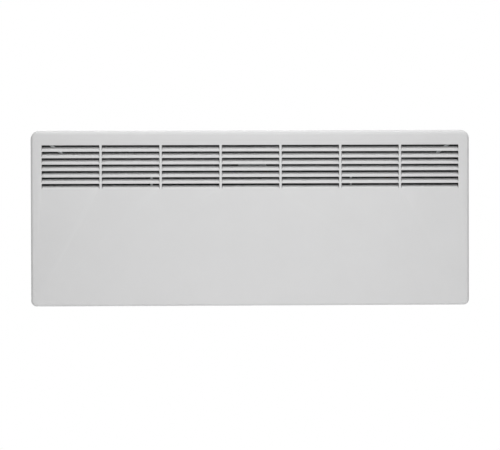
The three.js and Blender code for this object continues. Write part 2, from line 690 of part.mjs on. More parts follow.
/** The ceramic bush that carries the sheath in a bracket, its flange towards the element. */
function elementBushing(side) {
  const bore = SHEATH.radius + FIT;
  const inner = profileEnd + FIT;
  const seat = inner + BUSHING.flangeDepth;
  const outer = bracketOuter + BUSHING.out;
  return turned('x', elementAt, [
    [bore, side * inner],
    [BUSHING.flange, side * inner],
    [BUSHING.flange, side * seat],
    [BUSHING.neck, side * seat],
    [BUSHING.neck, side * outer],
    [bore, side * outer],
    [bore, side * inner],
  ]);
}

function elementInsulator(side) {
  const start = SHEATH.half + FIT;
  const ends = onSide(side, start, start + INSULATOR.length);
  return sleeve('x', elementAt, TERMINAL.radius + FIT, INSULATOR.radius, ends, SMALL_CIRCLE);
}

/** The pin through the insulator, flattened to a blade for the lead. */
function elementTerminal(side) {
  const start = SHEATH.half + FIT;
  const tip = start + TERMINAL.length;
  const blade = block(
    onSide(side, tip - TERMINAL.bladeLength, tip),
    around(elementY, TAB.sheet),
    around(elementZ, TERMINAL.blade),
  );
  const pin = onSide(side, start, tip - TERMINAL.bladeLength / 2);
  return join(rod('x', elementAt, TERMINAL.radius, pin, SMALL_CIRCLE), blade);
}

// ---- Overheat cut-out -----------------------------------------------------------------------

const cutoutY = innerFront + CUTOUT.fromFront;
const cutoutTabZ = (top) => top - CUTOUT.tabDrop;

/** The folded plate on the deflector that carries the cut-out in the warm air. */
function cutoutBracket() {
  const slope = new THREE.Vector2(-DEFLECTOR.reach, deflectorRise).normalize();
  const off = DEFLECTOR.sheet / 2 + FIT + CUTOUT_BRACKET.sheet / 2;
  const onSlope = (z) => [deflectorAt(z) - off * slope.y, z + off * slope.x];
  const height = casingTopInside - CUTOUT_BRACKET.drop;
  const low = onSlope(height);
  const front = innerFront + CUTOUT_BRACKET.reach;
  const path = [
    onSlope(height + CUTOUT_BRACKET.foot),
    low,
    [front, low[1]],
    [front, low[1] - CUTOUT_BRACKET.lip],
  ];
  return {
    body: prismX(foldedSheet(path, CUTOUT_BRACKET.sheet), around(0, CUTOUT_BRACKET.width)),
    under: low[1] - CUTOUT_BRACKET.sheet / 2,
  };
}

function thermalCutout(top) {
  const bottom = top - CUTOUT.height;
  const can = turned('z', [0, cutoutY, 0], [
    [0, bottom],
    [CUTOUT.radius, bottom],
    [CUTOUT.radius, top - CUTOUT.flangeDepth],
    [CUTOUT.flange, top - CUTOUT.flangeDepth],
    [CUTOUT.flange, top],
    [0, top],
  ]);
  const tabs = block(
    [-CUTOUT.tab, CUTOUT.tab],
    around(cutoutY, TAB.width),
    around(cutoutTabZ(top), TAB.sheet),
  );
  return join(can, tabs);
}

// ---- Control unit, drawn about the outer face of the casing's side wall ---------------------

const faceBack = FIT;
const faceFront = FIT + HOUSING.flangeDepth;
const cavityWidth = HOUSING.width - 2 * HOUSING.wall;
const cavityHeight = HOUSING.height - 2 * HOUSING.wall;
const boardBack = -BOARD.back;
const boardFront = boardBack + BOARD.thickness;

function controlHousing() {
  const { width, height, wall, flange, corner } = HOUSING;
  const outer = prismX(roundedRectangle(0, 0, width, height, corner), [-HOUSING.depth, faceFront]);
  const rim = roundedRectangle(0, 0, width + 2 * flange, height + 2 * flange, corner + flange);
  const cavity = prismX(
    roundedRectangle(0, 0, cavityWidth, cavityHeight, corner - wall),
    [-HOUSING.depth - FIT, faceFront - HOUSING.wall],
  );
  const through = [-HOUSING.wall, faceFront + FIT];
  const opening = block(
    through,
    around(0, SWITCH.width + 2 * FIT),
    around(SWITCH.z, SWITCH.height + 2 * FIT),
  );
  return cut(
    join(outer, prismX(rim, [faceBack, faceFront])),
    cavity,
    rod('x', [0, 0, POT.z], SPINDLE.radius + RUNNING, through),
    rod('x', [0, 0, LENS.z], LENS.radius + FIT, through, SMALL_CIRCLE),
    opening,
  );
}

function controlCover() {
  const back = -HOUSING.depth - FIT - COVER.sheet;
  const plate = prismX(
    roundedRectangle(0, 0, HOUSING.width, HOUSING.height, HOUSING.corner),
    [back, back + COVER.sheet],
  );
  const plug = prismX(
    roundedRectangle(0, 0, cavityWidth - 2 * FIT, cavityHeight - 2 * FIT, HOUSING.corner - HOUSING.wall),
    [back, back + COVER.sheet + COVER.plug],
  );
  const holes = Object.values(LEAD_ENTRIES).map((z) => (
    rod('x', [back, 0, z], COVER.leadHole, [-FIT, COVER.sheet + COVER.plug + FIT], SMALL_CIRCLE)));
  return cut(join(plate, plug), holes);
}

function circuitBoard() {
  const top = cavityHeight / 2 - (HOUSING.corner - HOUSING.wall);
  return block([boardBack, boardFront], around(0, cavityWidth - 2 * FIT), [BOARD.bottom, top]);
}

function thermostatBody() {
  const back = boardFront + FIT;
  const front = back + POT.length;
  return turned('x', [0, 0, POT.z], [
    [0, back],
    [POT.radius, back],
    [POT.radius, front - POT.chamfer],
    [POT.radius - POT.chamfer, front],
    [SPINDLE.radius + FIT, front],
    [SPINDLE.radius + FIT, front - POT.socket],
    [0, front - POT.socket],
  ]);
}

const socketFloor = boardFront + FIT + POT.length - POT.socket;

/** The shaft between the thermostat and the knob, with one flat where the knob drives it. */
function thermostatSpindle() {
  const shaft = rod('x', [0, 0, POT.z], SPINDLE.radius, [socketFloor + FIT, SPINDLE.out]);
  const flat = block(
    [faceFront + KNOB.lift, SPINDLE.out + FIT],
    [-SPINDLE.radius, SPINDLE.radius],
    [POT.z + SPINDLE.flat, POT.z + 2 * SPINDLE.radius],
  );
  return cut(shaft, flat);
}

/** The fluted knob, with a notch on its rim that shows the setting. */
function thermostatKnob() {
  const low = faceFront + KNOB.lift;
  const high = low + KNOB.height;
  const cap = turned('x', [0, 0, POT.z], [
    [0, SPINDLE.out + FIT],
    [SPINDLE.radius + FIT, SPINDLE.out + FIT],
    [SPINDLE.radius + FIT, low],
    [KNOB.radius, low],
    [KNOB.radius - KNOB.taper, high - KNOB.crown],
    [KNOB.radius - KNOB.crown / 2, high - KNOB.crown / 3],
    [KNOB.radius - KNOB.crown, high],
    [0, high],
  ], KNOB.sides);
  const flutes = [];
  for (let k = 0; k < KNOB_FLUTE.count; k += 1) {
    const angle = (2 * Math.PI * (k + 0.5)) / KNOB_FLUTE.count;
    const at = [0, KNOB.radius * Math.cos(angle), POT.z + KNOB.radius * Math.sin(angle)];
    flutes.push(rod('x', at, KNOB_FLUTE.width / 2, [low + KNOB_FLUTE.start, high + FIT], 6));
  }
  const mark = block(
    [high - KNOB_MARK.depth, high + FIT],
    around(0, KNOB_MARK.width),
    [POT.z + KNOB.radius / 2, POT.z + 2 * KNOB.radius],
  );
  return cut(cap, flutes, mark);
}

function indicatorLens() {
  return turned('x', [0, 0, LENS.z], [
    [0, -LENS.back],
    [LENS.radius, -LENS.back],
    [LENS.radius, faceFront],
    [0.8 * LENS.radius, faceFront + 0.6 * LENS.radius],
    [0.4 * LENS.radius, faceFront + 0.9 * LENS.radius],
    [0, faceFront + LENS.radius],
  ], SMALL_CIRCLE);
}

const switchFront = faceFront + FIT + SWITCH.flangeDepth;
const tabBack = -SWITCH.depth - SWITCH_TAB.length;

function rockerSwitch() {
  const { width, height, depth, flange } = SWITCH;
  const frame = block(
    [faceFront + FIT, switchFront],
    around(0, width + 2 * flange),
    around(SWITCH.z, height + 2 * flange),
  );
  const barrel = block([-depth, switchFront], around(0, width), around(SWITCH.z, height));
  const swept = Math.hypot(ROCKER.half, ROCKER.thickness) + RUNNING;
  const cavity = block(
    [ROCKER_PIN.out - swept / 2 - ROCKER.keel, switchFront + FIT],
    around(0, ROCKER.width + 2 * RUNNING),
    around(SWITCH.z, 2 * swept),
  );
  const reach = around(0, ROCKER_PIN.length + 2 * FIT);
  const pinHole = rod('y', [ROCKER_PIN.out, 0, SWITCH.z], ROCKER_PIN.radius + FIT, reach, SMALL_CIRCLE);
  const tabs = [-1, 1].map((end) => block(
    [tabBack, -depth + FIT],
    around(0, TAB.width),
    around(SWITCH.z + (end * SWITCH_TAB.pitch) / 2, TAB.sheet),
  ));
  return join(cut(join(frame, barrel), cavity, pinHole), tabs);
}

/** The rocker, drawn level about its pin and turned to its off position. */
function rockerButton() {
  const { half, thickness, dip, keel, width } = ROCKER;
  const outline = new THREE.Shape();
  outline.moveTo(FIT, -half);
  outline.lineTo(thickness, -half);
  outline.quadraticCurveTo(thickness - 2 * dip, 0, thickness, half);
  outline.lineTo(FIT, half);
  outline.lineTo(-keel, half / 2);
  outline.lineTo(-keel, -half / 2);
  const body = prismY(outline, around(0, width));
  return join(body, rod('y', [0, 0, 0], ROCKER_PIN.radius, around(0, ROCKER_PIN.length), SMALL_CIRCLE));
}

// ---- Supply side ----------------------------------------------------------------------------

const blockZ = casingBottom + TERMINAL_BLOCK.aboveBottom;

function terminalBlock() {
  const { width, depth, height, poles, screw } = TERMINAL_BLOCK;
  const back = backSeat;
  const body = block(around(supplyX, width), [back - depth, back], around(blockZ, height));
  const pitch = width / poles;
  const cuts = [];
  for (let pole = 0; pole < poles; pole += 1) {
    const at = supplyX + (pole - (poles - 1) / 2) * pitch;
    cuts.push(rod('y', [at, 0, blockZ], screw, [back - depth - FIT, back - depth / 2], SMALL_CIRCLE));
    if (pole > 0) {
      cuts.push(block(
        around(at - pitch / 2, BLOCK_SLIT.width),
        [back - depth - FIT, back - depth + BLOCK_SLIT.depth],
        around(blockZ, height + 2 * FIT),
      ));
    }
  }
  return cut(body, cuts);
}

const glandAt = [supplyX, controlY, casingBottom];

/** The cable gland in the bottom wall: flange and dome below it, threaded neck above it. */
function cableGland() {
  const mouth = -casingBottom - halfHeight + GLAND_DOME.clear;
  const shoulder = -FIT - GLAND_DOME.shoulder;
  return turned('z', glandAt, [
    [GLAND.bore, mouth],
    [GLAND_DOME.nose, mouth],
    [GLAND.dome, mouth + GLAND_DOME.taper],
    [GLAND.dome, shoulder],
    [GLAND.flange, shoulder],
    [GLAND.flange, -FIT],
    [GLAND.neck, -FIT],
    [GLAND.neck, GLAND.inside],
    [GLAND.bore, GLAND.inside],
    [GLAND.bore, mouth],
  ]);
}

function glandNut() {
  const low = casingBottom + CASING_SHEET + FIT;
  const hexagon = rod('z', [supplyX, controlY, 0], GLAND_NUT.radius, [low, low + GLAND_NUT.height], 6);
  return cut(hexagon, rod('z', glandAt, GLAND.neck + FIT, [0, GLAND.inside + GLAND_NUT.height]));
}

const sensorZ = casingBottom + CASING_SHEET + FIT + SENSOR.height;

function sensorClip() {
  const low = casingBottom + CASING_SHEET + FIT;
  const arch = new THREE.Shape();
  const half = SENSOR_CLIP.depth / 2;
  arch.moveTo(controlY - half, low);
  arch.lineTo(controlY + half, low);
  arch.lineTo(controlY + half, low + SENSOR_CLIP.height - half);
  arch.absarc(controlY, low + SENSOR_CLIP.height - half, half, 0, Math.PI);
  const hole = rod('x', [0, controlY, sensorZ], SENSOR.radius + FIT, [0, halfWidth], SMALL_CIRCLE);
  return cut(prismX(arch, around(sensorX, SENSOR_CLIP.width)), hole);
}

function roomSensor() {
  const [low, high] = around(sensorX, SENSOR.length);
  return turned('x', [0, controlY, sensorZ], [
    [0, low],
    [0.7 * SENSOR.radius, low],
    [SENSOR.radius, low + SENSOR.radius],
    [SENSOR.radius, high],
    [0, high],
  ], SMALL_CIRCLE);
}

/** The rubber grommet that a lead passes through in the shield's end wall. */
function leadGrommet(z) {
  const groove = SHIELD.sheet / 2 + FIT;
  const end = GROMMET.length / 2;
  return turned('x', [shieldHalf, elementY, z], [
    [GROMMET.bore, -end],
    [GROMMET.radius - GROMMET.chamfer, -end],
    [GROMMET.radius, -groove],
    [GROMMET.groove, -groove],
    [GROMMET.groove, groove],
    [GROMMET.radius, groove],
    [GROMMET.radius - GROMMET.chamfer, end],
    [GROMMET.bore, end],
    [GROMMET.bore, -end],
  ], SMALL_CIRCLE);
}

/** An insulated lead along a hand-laid route. */
function lead(points) {
  const places = points.map((point) => new THREE.Vector3(...point));
  const route = new THREE.CatmullRomCurve3(places, false, 'centripetal');
  const section = new THREE.Shape();
  for (let k = 0; k < LEAD.sides; k += 1) {
    const angle = (2 * Math.PI * k) / LEAD.sides;
    const [a, b] = [LEAD.radius * Math.cos(angle), LEAD.radius * Math.sin(angle)];
    if (k === 0) section.moveTo(a, b);
    else section.lineTo(a, b);
  }
  const options = { steps: LEAD.steps, extrudePath: route, bevelEnabled: false };
  return solid(new THREE.ExtrudeGeometry(section, options));
}

const boardSide = casingSide - BOARD.back - FIT;
const coverIn = coverBack - LEAD.straight;
const entry = (name) => controlZ + LEAD_ENTRIES[name];

function leadSupply() {
  const { rise, stand, low, turn, bow } = SUPPLY_LEAD;
  const top = blockZ + TERMINAL_BLOCK.height / 2 + FIT;
  const y = backSeat - TERMINAL_BLOCK.depth / 2;
  const z = entry('supply');
  return lead([
    [supplyX, y, top],
    [supplyX, y, top + rise],
    [coverBack - stand, y, z - low],
    [coverBack - stand - bow, controlY, z - turn],
    [coverIn, controlY, z],
    [coverBack + LEAD.straight, controlY, z],
    [casingSide + tabBack - FIT, controlY, z],
  ]);
}

function leadSensor() {
  const { forward, beside, lift, foot, waist, turn } = SENSOR_LEAD;
  const z = entry('sensor');
  const y = controlY - forward;
  const side = coverBack - beside;
  return lead([
    [sensorX + SENSOR.length / 2 + FIT, controlY, sensorZ],
    [shieldHalf + beside, controlY, sensorZ + lift],
    [side, y, sensorZ + foot],
    [side, y, sensorZ + waist],
    [side, y, z - turn],
    [coverIn, controlY, z],
    [coverBack + LEAD.straight, controlY, z],
    [boardSide, controlY, z],
  ]);
}

/** The route from the board to the far side of the shield's end wall, through a grommet. */
function throughShield(entryZ, grommetZ) {
  return [
    [boardSide, controlY, entryZ],
    [coverIn, controlY, entryZ],
    [shieldHalf + LEAD.through, elementY, grommetZ],
    [shieldHalf - LEAD.through, elementY, grommetZ],
  ];
}

const terminalEnd = SHEATH.half + FIT + TERMINAL.length + FIT;

function leadElement() {
  const { fall, lift, straight } = ELEMENT_LEAD;
  return lead([
    ...throughShield(entry('element'), grommetHeights.lower),
    [terminalEnd + fall, elementY, elementZ + lift],
    [terminalEnd + straight, elementY, elementZ],
    [terminalEnd, elementY, elementZ],
  ]);
}

const overBrackets = elementBracketTop + CUTOUT_LEAD.over;

function leadCutout(tabZ) {
  const { sag, fall, before, after, dip, turn, straight } = CUTOUT_LEAD;
  const tip = CUTOUT.tab + FIT;
  return lead([
    ...throughShield(entry('cutout'), grommetHeights.upper),
    [shieldHalf - fall, elementY, overBrackets - sag],
    [ELEMENT_BRACKET.x + before, elementY, overBrackets],
    [ELEMENT_BRACKET.x - after, elementY, overBrackets],
    [tip + turn, cutoutY, overBrackets + dip],
    [tip + straight, cutoutY, tabZ],
    [tip, cutoutY, tabZ],
  ]);
}

function leadReturn(tabZ) {
  const { before, after, dip, turn, straight } = CUTOUT_LEAD;
  const tip = -CUTOUT.tab - FIT;
  const end = -terminalEnd;
  return lead([
    [tip, cutoutY, tabZ],
    [tip - straight, cutoutY, tabZ],
    [tip - turn, cutoutY, overBrackets + dip],
    [-ELEMENT_BRACKET.x + after, elementY, overBrackets],
    [-ELEMENT_BRACKET.x - before, elementY, overBrackets],
    [end - RETURN_LEAD.drop, elementY, overBrackets - RETURN_LEAD.drop],
    [end - RETURN_LEAD.bow, elementY, elementZ + RETURN_LEAD.waist],
    [end - RETURN_LEAD.turn, elementY, elementZ + RETURN_LEAD.lift],
    [end - straight, elementY, elementZ],
    [end, elementY, elementZ],
  ]);
}

// ---- Wall bracket ---------------------------------------------------------------------------

/** One upright: a folded channel whose web runs on into the hook under the heater. */
function upright(side) {
  const { half, sheet, depth, backFlange, frontFlange, bend } = BRACKET;
  const line = half + sheet / 2;
  const path = [
    [side * (half + backFlange), -sheet / 2],
    [side * line, -sheet / 2],
    [side * line, -depth + sheet / 2],
    [side * (half + frontFlange), -depth + sheet / 2],
  ];
  const channel = prismZ(foldedSheet(path, sheet, bend), [casingBottom, bracketTop]);
  const relief = block(
    onSide(side, half + sheet, half + frontFlange + FIT),
    [-depth - FIT, -depth + sheet + bend],
    [casingBottom - FIT, casingBottom + CASING_INSET],
  );
  const bottom = pivotZ - HOOK.nose;
  const web = onSide(side, half, half + sheet);
  const arm = block(web, [pivotY, 0], [bottom, pivotZ + HOOK.nose]);
  const root = block(web, [-depth + bend, 0], [bottom, casingBottom + FIT]);
  const nose = rod('x', [0, pivotY, pivotZ], HOOK.nose, web);
  const tabTop = casingBottom + CASING_SHEET + HOOK.tabRise;
  const tab = block(web, around(pivotY, HOOK.tab), [pivotZ, tabTop]);
  return join(cut(channel, relief), arm, root, nose, tab);
}

/** The flanged bar between the uprights, lapped on the back of their bends. */
function crossbar() {
  const { half, sheet, bend } = BRACKET;
  const rise = CROSSBAR.height / 2 - sheet / 2;
  const path = [
    [-CROSSBAR.flange, -rise],
    [-sheet / 2, -rise],
    [-sheet / 2, rise],
    [-CROSSBAR.flange, rise],
  ];
  const reach = half + sheet / 2;
  const lap = reach + bend;
  const plate = block([-lap, lap], [-sheet, 0], [-rise + bend, rise - bend]);
  return join(prismX(foldedSheet(path, sheet, bend), [-reach, reach]), plate);
}

/** The bracket: two uprights and the crossbar, with round holes for the wall screws. */
function wallBracket() {
  const x = BRACKET.half + BRACKET.backFlange / 2 + BRACKET.sheet;
  const heights = [bracketTop - WALL_HOLE.belowTop, casingBottom + WALL_HOLE.aboveBottom];
  const holes = [-1, 1].flatMap((side) => heights.map((z) => (
    rod('y', [side * x, 0, z], WALL_HOLE.radius, [-BRACKET.sheet - FIT, FIT], SMALL_CIRCLE))));
  const pins = [-1, 1].map((side) => (
    rod('y', [side * catchX, 0, catchZ], CATCH_PIN.radius + FIT, [bracketFront - FIT, bracketFront / 2])));
  return cut(join(upright(-1), upright(1), crossbar()), holes, pins);
}

const bufferHeights = {
  upper: bracketTop - BUFFER.belowTop,
  lower: casingBottom + BUFFER.aboveBottom,
};

/** A rubber buffer on the bracket, between its front flange and the back of the casing. */
function wallBuffer() {
  const seat = bracketFront - FIT;
  const crown = casingBack + FIT;
  return turned('y', [0, 0, 0], [
    [0, crown],
    [BUFFER.crown, crown],
    [(BUFFER.crown + 2 * BUFFER.radius) / 3, crown + BUFFER.edge / 3],
    [BUFFER.radius, crown + BUFFER.edge],
    [BUFFER.radius, seat],
    [0, seat],
  ], SMALL_CIRCLE);
}

const catchBack = bracketFront - FIT;

/** A turning catch: its wing goes behind the keeper, its lever is worked from above. */
function wallCatch(side) {
  const depth = [catchBack - CATCH.sheet, catchBack];
  const wing = roundedRectangle(
    0,
    (CATCH_WING.length - CATCH_WING.width / 2) / 2,
    CATCH_WING.width,
    CATCH_WING.length + CATCH_WING.width / 2,
    CATCH_WING.corner,
  );
  const lever = roundedRectangle(
    (-side * CATCH_LEVER.length) / 2,
    0,
    CATCH_LEVER.length + CATCH_LEVER.width,
    CATCH_LEVER.width,
    CATCH_LEVER.width / 2 - FIT / 2,
  );
  const hub = rod('y', [0, 0, 0], CATCH.hub, depth);
  const hole = rod('y', [0, 0, 0], CATCH_PIN.radius + FIT, [catchBack - 2 * CATCH.sheet, 0]);
  return cut(join(prismY(wing, depth), prismY(lever, depth), hub), hole);
}

/** The headed pin that the catch turns on, riveted in the bracket's front flange. */
function catchPivot() {
  const head = catchBack - CATCH.sheet - FIT;
  const tail = bracketFront + BRACKET.sheet + CATCH_PIN.tail;
  return turned('y', [0, 0, 0], [
    [0, head - CATCH_PIN.headDepth],
    [CATCH_PIN.headTop, head - CATCH_PIN.headDepth],
    [CATCH_PIN.head, head],
    [CATCH_PIN.radius, head],
    [CATCH_PIN.radius, tail],
    [0, tail],
  ]);
}

/** The folded keeper on the back of the casing, open towards the catch. */
function catchKeeper(side) {
  const foot = casingBack + FIT + KEEPER.sheet / 2;
  const lip = catchBack + KEEPER.clearance + KEEPER.sheet / 2;
  const web = catchX + CATCH_WING.length + KEEPER.gap + KEEPER.sheet / 2;
  const path = [
    [side * (web + KEEPER.foot), foot],
    [side * web, foot],
    [side * web, lip],
    [side * (BRACKET.half + BRACKET.frontFlange + KEEPER.gap), lip],
  ];
  return prismZ(foldedSheet(path, KEEPER.sheet), around(catchZ, KEEPER.height));
}

// ---- Finishes: colour, roughness, metalness -------------------------------------------------

const POWDER_COAT = [0xe4e4e3, 0.5, 0];
const DARK_COAT = [0x3c3d3f, 0.65, 0];
const GALVANISED = [0xa9adb0, 0.45, 0.9];
const ALUMINIUM = [0xb9bbbd, 0.35, 1];
const STEEL = [0x8d8f91, 0.4, 1];
const CERAMIC = [0xe9e4d8, 0.5, 0];
const BLACK_PLASTIC = [0x26272a, 0.5, 0];
const WHITE_PLASTIC = [0xdededc, 0.4, 0];
const BAKELITE = [0x3a2a22, 0.45, 0];
const BOARD_GREEN = [0x2f6b45, 0.5, 0];
const RUBBER = [0x1d1d1e, 0.8, 0];
const LEAD_BROWN = [0x6b4630, 0.5, 0];
const LEAD_BLUE = [0x38588c, 0.5, 0];
const LENS_AMBER = [0xd98a3a, 0.15, 0];

// ---- Assembly -------------------------------------------------------------------------------

const SIDES = [['left', -1], ['right', 1]];

function place(mesh, x, y, z) {
  mesh.position.set(x, y, z);
  return mesh;
}

function bracketGroup() {
  const group = new THREE.Group();
  group.add(piece('wall_bracket', wallBracket(), GALVANISED));
  for (const [name, side] of SIDES) {
    const x = side * catchX;
    group.add(place(piece(`wall_catch_${name}`, wallCatch(side), STEEL), x, 0, catchZ));
    group.add(place(piece(`catch_pivot_${name}`, catchPivot(), STEEL), x, 0, catchZ));
    for (const [label, z] of Object.entries(bufferHeights)) {
      group.add(place(piece(`wall_buffer_${label}_${name}`, wallBuffer(), RUBBER), x, 0, z));
    }
  }
  return group;
}

function elementGroup() {
  const group = new THREE.Group();
  const sheath = rod('x', elementAt, SHEATH.radius, [-SHEATH.half, SHEATH.half]);
  group.add(piece('element_profile', elementProfile(), ALUMINIUM));
  group.add(piece('element_sheath', sheath, STEEL));
  for (const [name, side] of SIDES) {
    group.add(piece(`element_bracket_${name}`, elementBracket(side), GALVANISED));
    group.add(piece(`element_bushing_${name}`, elementBushing(side), CERAMIC));
    group.add(piece(`element_insulator_${name}`, elementInsulator(side), CERAMIC));
    group.add(piece(`element_terminal_${name}`, elementTerminal(side), STEEL));
  }
  return group;
}

function cutoutGroup() {
  const group = new THREE.Group();
  const bracket = cutoutBracket();
  const top = bracket.under - FIT;
  group.add(piece('cutout_bracket', bracket.body, GALVANISED));
  group.add(piece('thermal_cutout', thermalCutout(top), BAKELITE));
  group.add(piece('lead_cutout', leadCutout(cutoutTabZ(top)), LEAD_BROWN));
  group.add(piece('lead_return', leadReturn(cutoutTabZ(top)), LEAD_BLUE));
  return group;
}

function controlGroup() {
  const group = new THREE.Group();
  group.position.set(casingSide, controlY, controlZ);
  group.add(piece('control_housing', controlHousing(), BLACK_PLASTIC));
  group.add(piece('control_cover', controlCover(), BLACK_PLASTIC));
  group.add(piece('circuit_board', circuitBoard(), BOARD_GREEN));
  group.add(piece('thermostat_body', thermostatBody(), STEEL));
  group.add(piece('thermostat_spindle', thermostatSpindle(), STEEL));
  group.add(piece('thermostat_knob', thermostatKnob(), WHITE_PLASTIC));
  group.add(piece('indicator_lens', indicatorLens(), LENS_AMBER));
  group.add(piece('rocker_switch', rockerSwitch(), BLACK_PLASTIC));
  const rocker = place(piece('rocker_button', rockerButton(), WHITE_PLASTIC), ROCKER_PIN.out, 0, SWITCH.z);
  rocker.rotation.y = radians(-ROCKER.swing);
  group.add(rocker);
  return group;
}

function heaterGroup() {
  const group = new THREE.Group();
  group.add(piece('front_panel', frontPanel(), POWDER_COAT));
  group.add(piece('rear_casing', rearCasing(), DARK_COAT));
  group.add(piece('air_deflector', airDeflector(), DARK_COAT));
  group.add(piece('convection_shield', convectionShield(), DARK_COAT));
  group.add(piece('rear_reflector', rearReflector(), ALUMINIUM));
  group.add(piece('terminal_block', terminalBlock(), WHITE_PLASTIC));
  group.add(piece('cable_gland', cableGland(), BLACK_PLASTIC));
  group.add(piece('gland_nut', glandNut(), BLACK_PLASTIC));
  group.add(piece('sensor_clip', sensorClip(), WHITE_PLASTIC));
  group.add(piece('room_sensor', roomSensor(), BLACK_PLASTIC));
  group.add(piece('lead_supply', leadSupply(), LEAD_BROWN));
  group.add(piece('lead_element', leadElement(), LEAD_BROWN));
  group.add(piece('lead_sensor', leadSensor(), LEAD_BLUE));
  for (const [name, z] of Object.entries(grommetHeights)) {
    group.add(piece(`lead_grommet_${name}`, leadGrommet(z), RUBBER));
  }
  for (const [name, side] of SIDES) {
    group.add(piece(`catch_keeper_${name}`, catchKeeper(side), GALVANISED));
  }
  group.add(elementGroup(), cutoutGroup(), controlGroup());
  return group;
}

const heater = new THREE.Group();
heater.add(bracketGroup(), heaterGroup());

export default heater;
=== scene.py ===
"""The looks of a wall panel convector heater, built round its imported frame. Lengths are in metres."""
import json
import math
import random

import bmesh
import bpy
from mathutils import Matrix, Vector, geometry

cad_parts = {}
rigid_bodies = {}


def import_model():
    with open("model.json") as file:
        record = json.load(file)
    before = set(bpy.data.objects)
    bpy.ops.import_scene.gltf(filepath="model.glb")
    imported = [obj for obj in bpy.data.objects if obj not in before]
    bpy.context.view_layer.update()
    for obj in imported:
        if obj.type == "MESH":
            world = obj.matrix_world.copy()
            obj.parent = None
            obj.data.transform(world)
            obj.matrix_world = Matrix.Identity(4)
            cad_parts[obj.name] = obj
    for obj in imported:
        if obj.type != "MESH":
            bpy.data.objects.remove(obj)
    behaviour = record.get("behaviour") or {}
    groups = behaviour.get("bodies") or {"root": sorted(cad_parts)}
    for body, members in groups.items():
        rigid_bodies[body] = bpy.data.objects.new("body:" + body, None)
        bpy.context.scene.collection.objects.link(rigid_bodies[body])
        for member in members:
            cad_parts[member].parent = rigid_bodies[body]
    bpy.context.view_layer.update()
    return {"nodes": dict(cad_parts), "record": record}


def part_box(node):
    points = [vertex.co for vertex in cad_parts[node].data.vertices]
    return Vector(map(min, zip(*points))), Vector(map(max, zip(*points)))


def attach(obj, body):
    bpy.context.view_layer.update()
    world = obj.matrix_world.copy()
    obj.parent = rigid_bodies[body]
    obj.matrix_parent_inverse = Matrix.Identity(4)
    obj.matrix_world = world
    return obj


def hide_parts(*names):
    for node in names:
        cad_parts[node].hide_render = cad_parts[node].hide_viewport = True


for start_object in list(bpy.data.objects):
    bpy.data.objects.remove(start_object)
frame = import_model()
NODES = frame["nodes"]
MM = 0.001

# ---- Sizes taken from the frame ----

PANEL_LOW, PANEL_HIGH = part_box("front_panel")
CASING_LOW, CASING_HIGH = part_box("rear_casing")
HALF_WIDTH = PANEL_HIGH.x
HALF_HEIGHT = PANEL_HIGH.z
FRONT = PANEL_LOW.y
LIP_BACK = PANEL_HIGH.y
CASING_BACK = CASING_HIGH.y
FLANGE_FRONT = CASING_LOW.y

# ---- Front panel ----

SHEET = 1 * MM
PANEL_LIP = 16 * MM
LIP_BEND = 2.2 * MM
LIP_BEND_STEPS = 5
ROLL = {"top": 10 * MM, "side": 6 * MM, "bottom": 5 * MM}
ROLL_DEPTH = 8 * MM
PANEL_CORNERS = {"top": 19 * MM, "bottom": 13 * MM}
CORNER_LEAST = 0.5 * MM
CORNER_STEPS = 12
ROLL_STEPS = 10

LOUVRE_ROWS = 7
LOUVRE_COLUMNS = 7
LOUVRE_PITCH = 14.6 * MM
LOUVRE_HEIGHT = 12 * MM
LOUVRE_ANGLE = math.radians(64)
LOUVRE_BEND = 5.5 * MM
LOUVRE_BEND_STEPS = 8
LOUVRE_END_GAP = 0.35 * MM
LOUVRE_TAPER = 1.1 * MM
LOUVRE_SPREAD = math.radians(0.5)
LOUVRE_PARTS = 6
GRILLE_TOP = 33.4 * MM
GRILLE_SIDE = 24.9 * MM
MULLION = 5.6 * MM

# ---- Rear casing ----

CASING_INSET = 14 * MM
CASING_FLANGE = 10 * MM
CASING_EDGE = 3 * MM
CASING_CORNERS = {"top": 28 * MM, "bottom": 28 * MM}
CASING_EDGE_STEPS = 8
FLANGE_BEND = 1.2 * MM
FLANGE_BEND_STEPS = 5
BEAD = {
    "half": 430 * MM,
    "radius": 8 * MM,
    "floor": 4.6 * MM,
    "depth": 2.9 * MM,
    "heights": (136 * MM, -166 * MM),
}
BEAD_STEPS = 8
BEAD_END_STEPS = 12
INTAKE = {
    "length": 34 * MM,
    "width": 5 * MM,
    "pitch_x": 50 * MM,
    "pitch_y": 8.5 * MM,
    "rows": 3,
    "columns": 15,
}
HOOK_SLOT = {
    "x": 160.75 * MM,
    "width": 2.5 * MM,
    "front": -57.2 * MM,
    "back": -51.2 * MM,
    "corner": 0.2 * MM,
}
GLAND_HOLE = {"x": 449 * MM, "radius": 8.3 * MM}
CONTROL_HOLE = {"z": 10 * MM, "width": 19.6 * MM, "height": 90.6 * MM, "corner": 3 * MM}
WELD = {"radius": 3 * MM, "floor": 2.1 * MM, "depth": 0.15 * MM, "slope": 0.7}
WELD_STEPS = 16
SHIELD_WELDS = {"x": 421 * MM, "heights": range(-135, 50, 45)}
BRACKET_WELDS = {"x": 236 * MM, "heights": (-65, 5, 75)}
DEFLECTOR_WELDS = {"z": 106 * MM, "along": range(-400, 401, 100)}
REFLECTOR_WELDS = {"along": (-150, 0, 150), "heights": (-86, 26)}

# ---- Edges and shading ----

DOUBLES = 0.01 * MM
CUT_EDGES = {"panel": 0.18 * MM, "casing": 0.15 * MM}
CUT_EDGE_ANGLE = math.radians(50)
NODE_EDGE_ANGLE = math.radians(38)
FLAT_ANGLE = math.radians(0.6)
SMOOTH_ANGLE = 35


# ---- Mesh tools ----

def linked(name, data):
    """A new object in the scene, made of a mesh, a text, a light or a camera."""
    made = bpy.data.objects.new(name, data)
    bpy.context.scene.collection.objects.link(made)
    return made


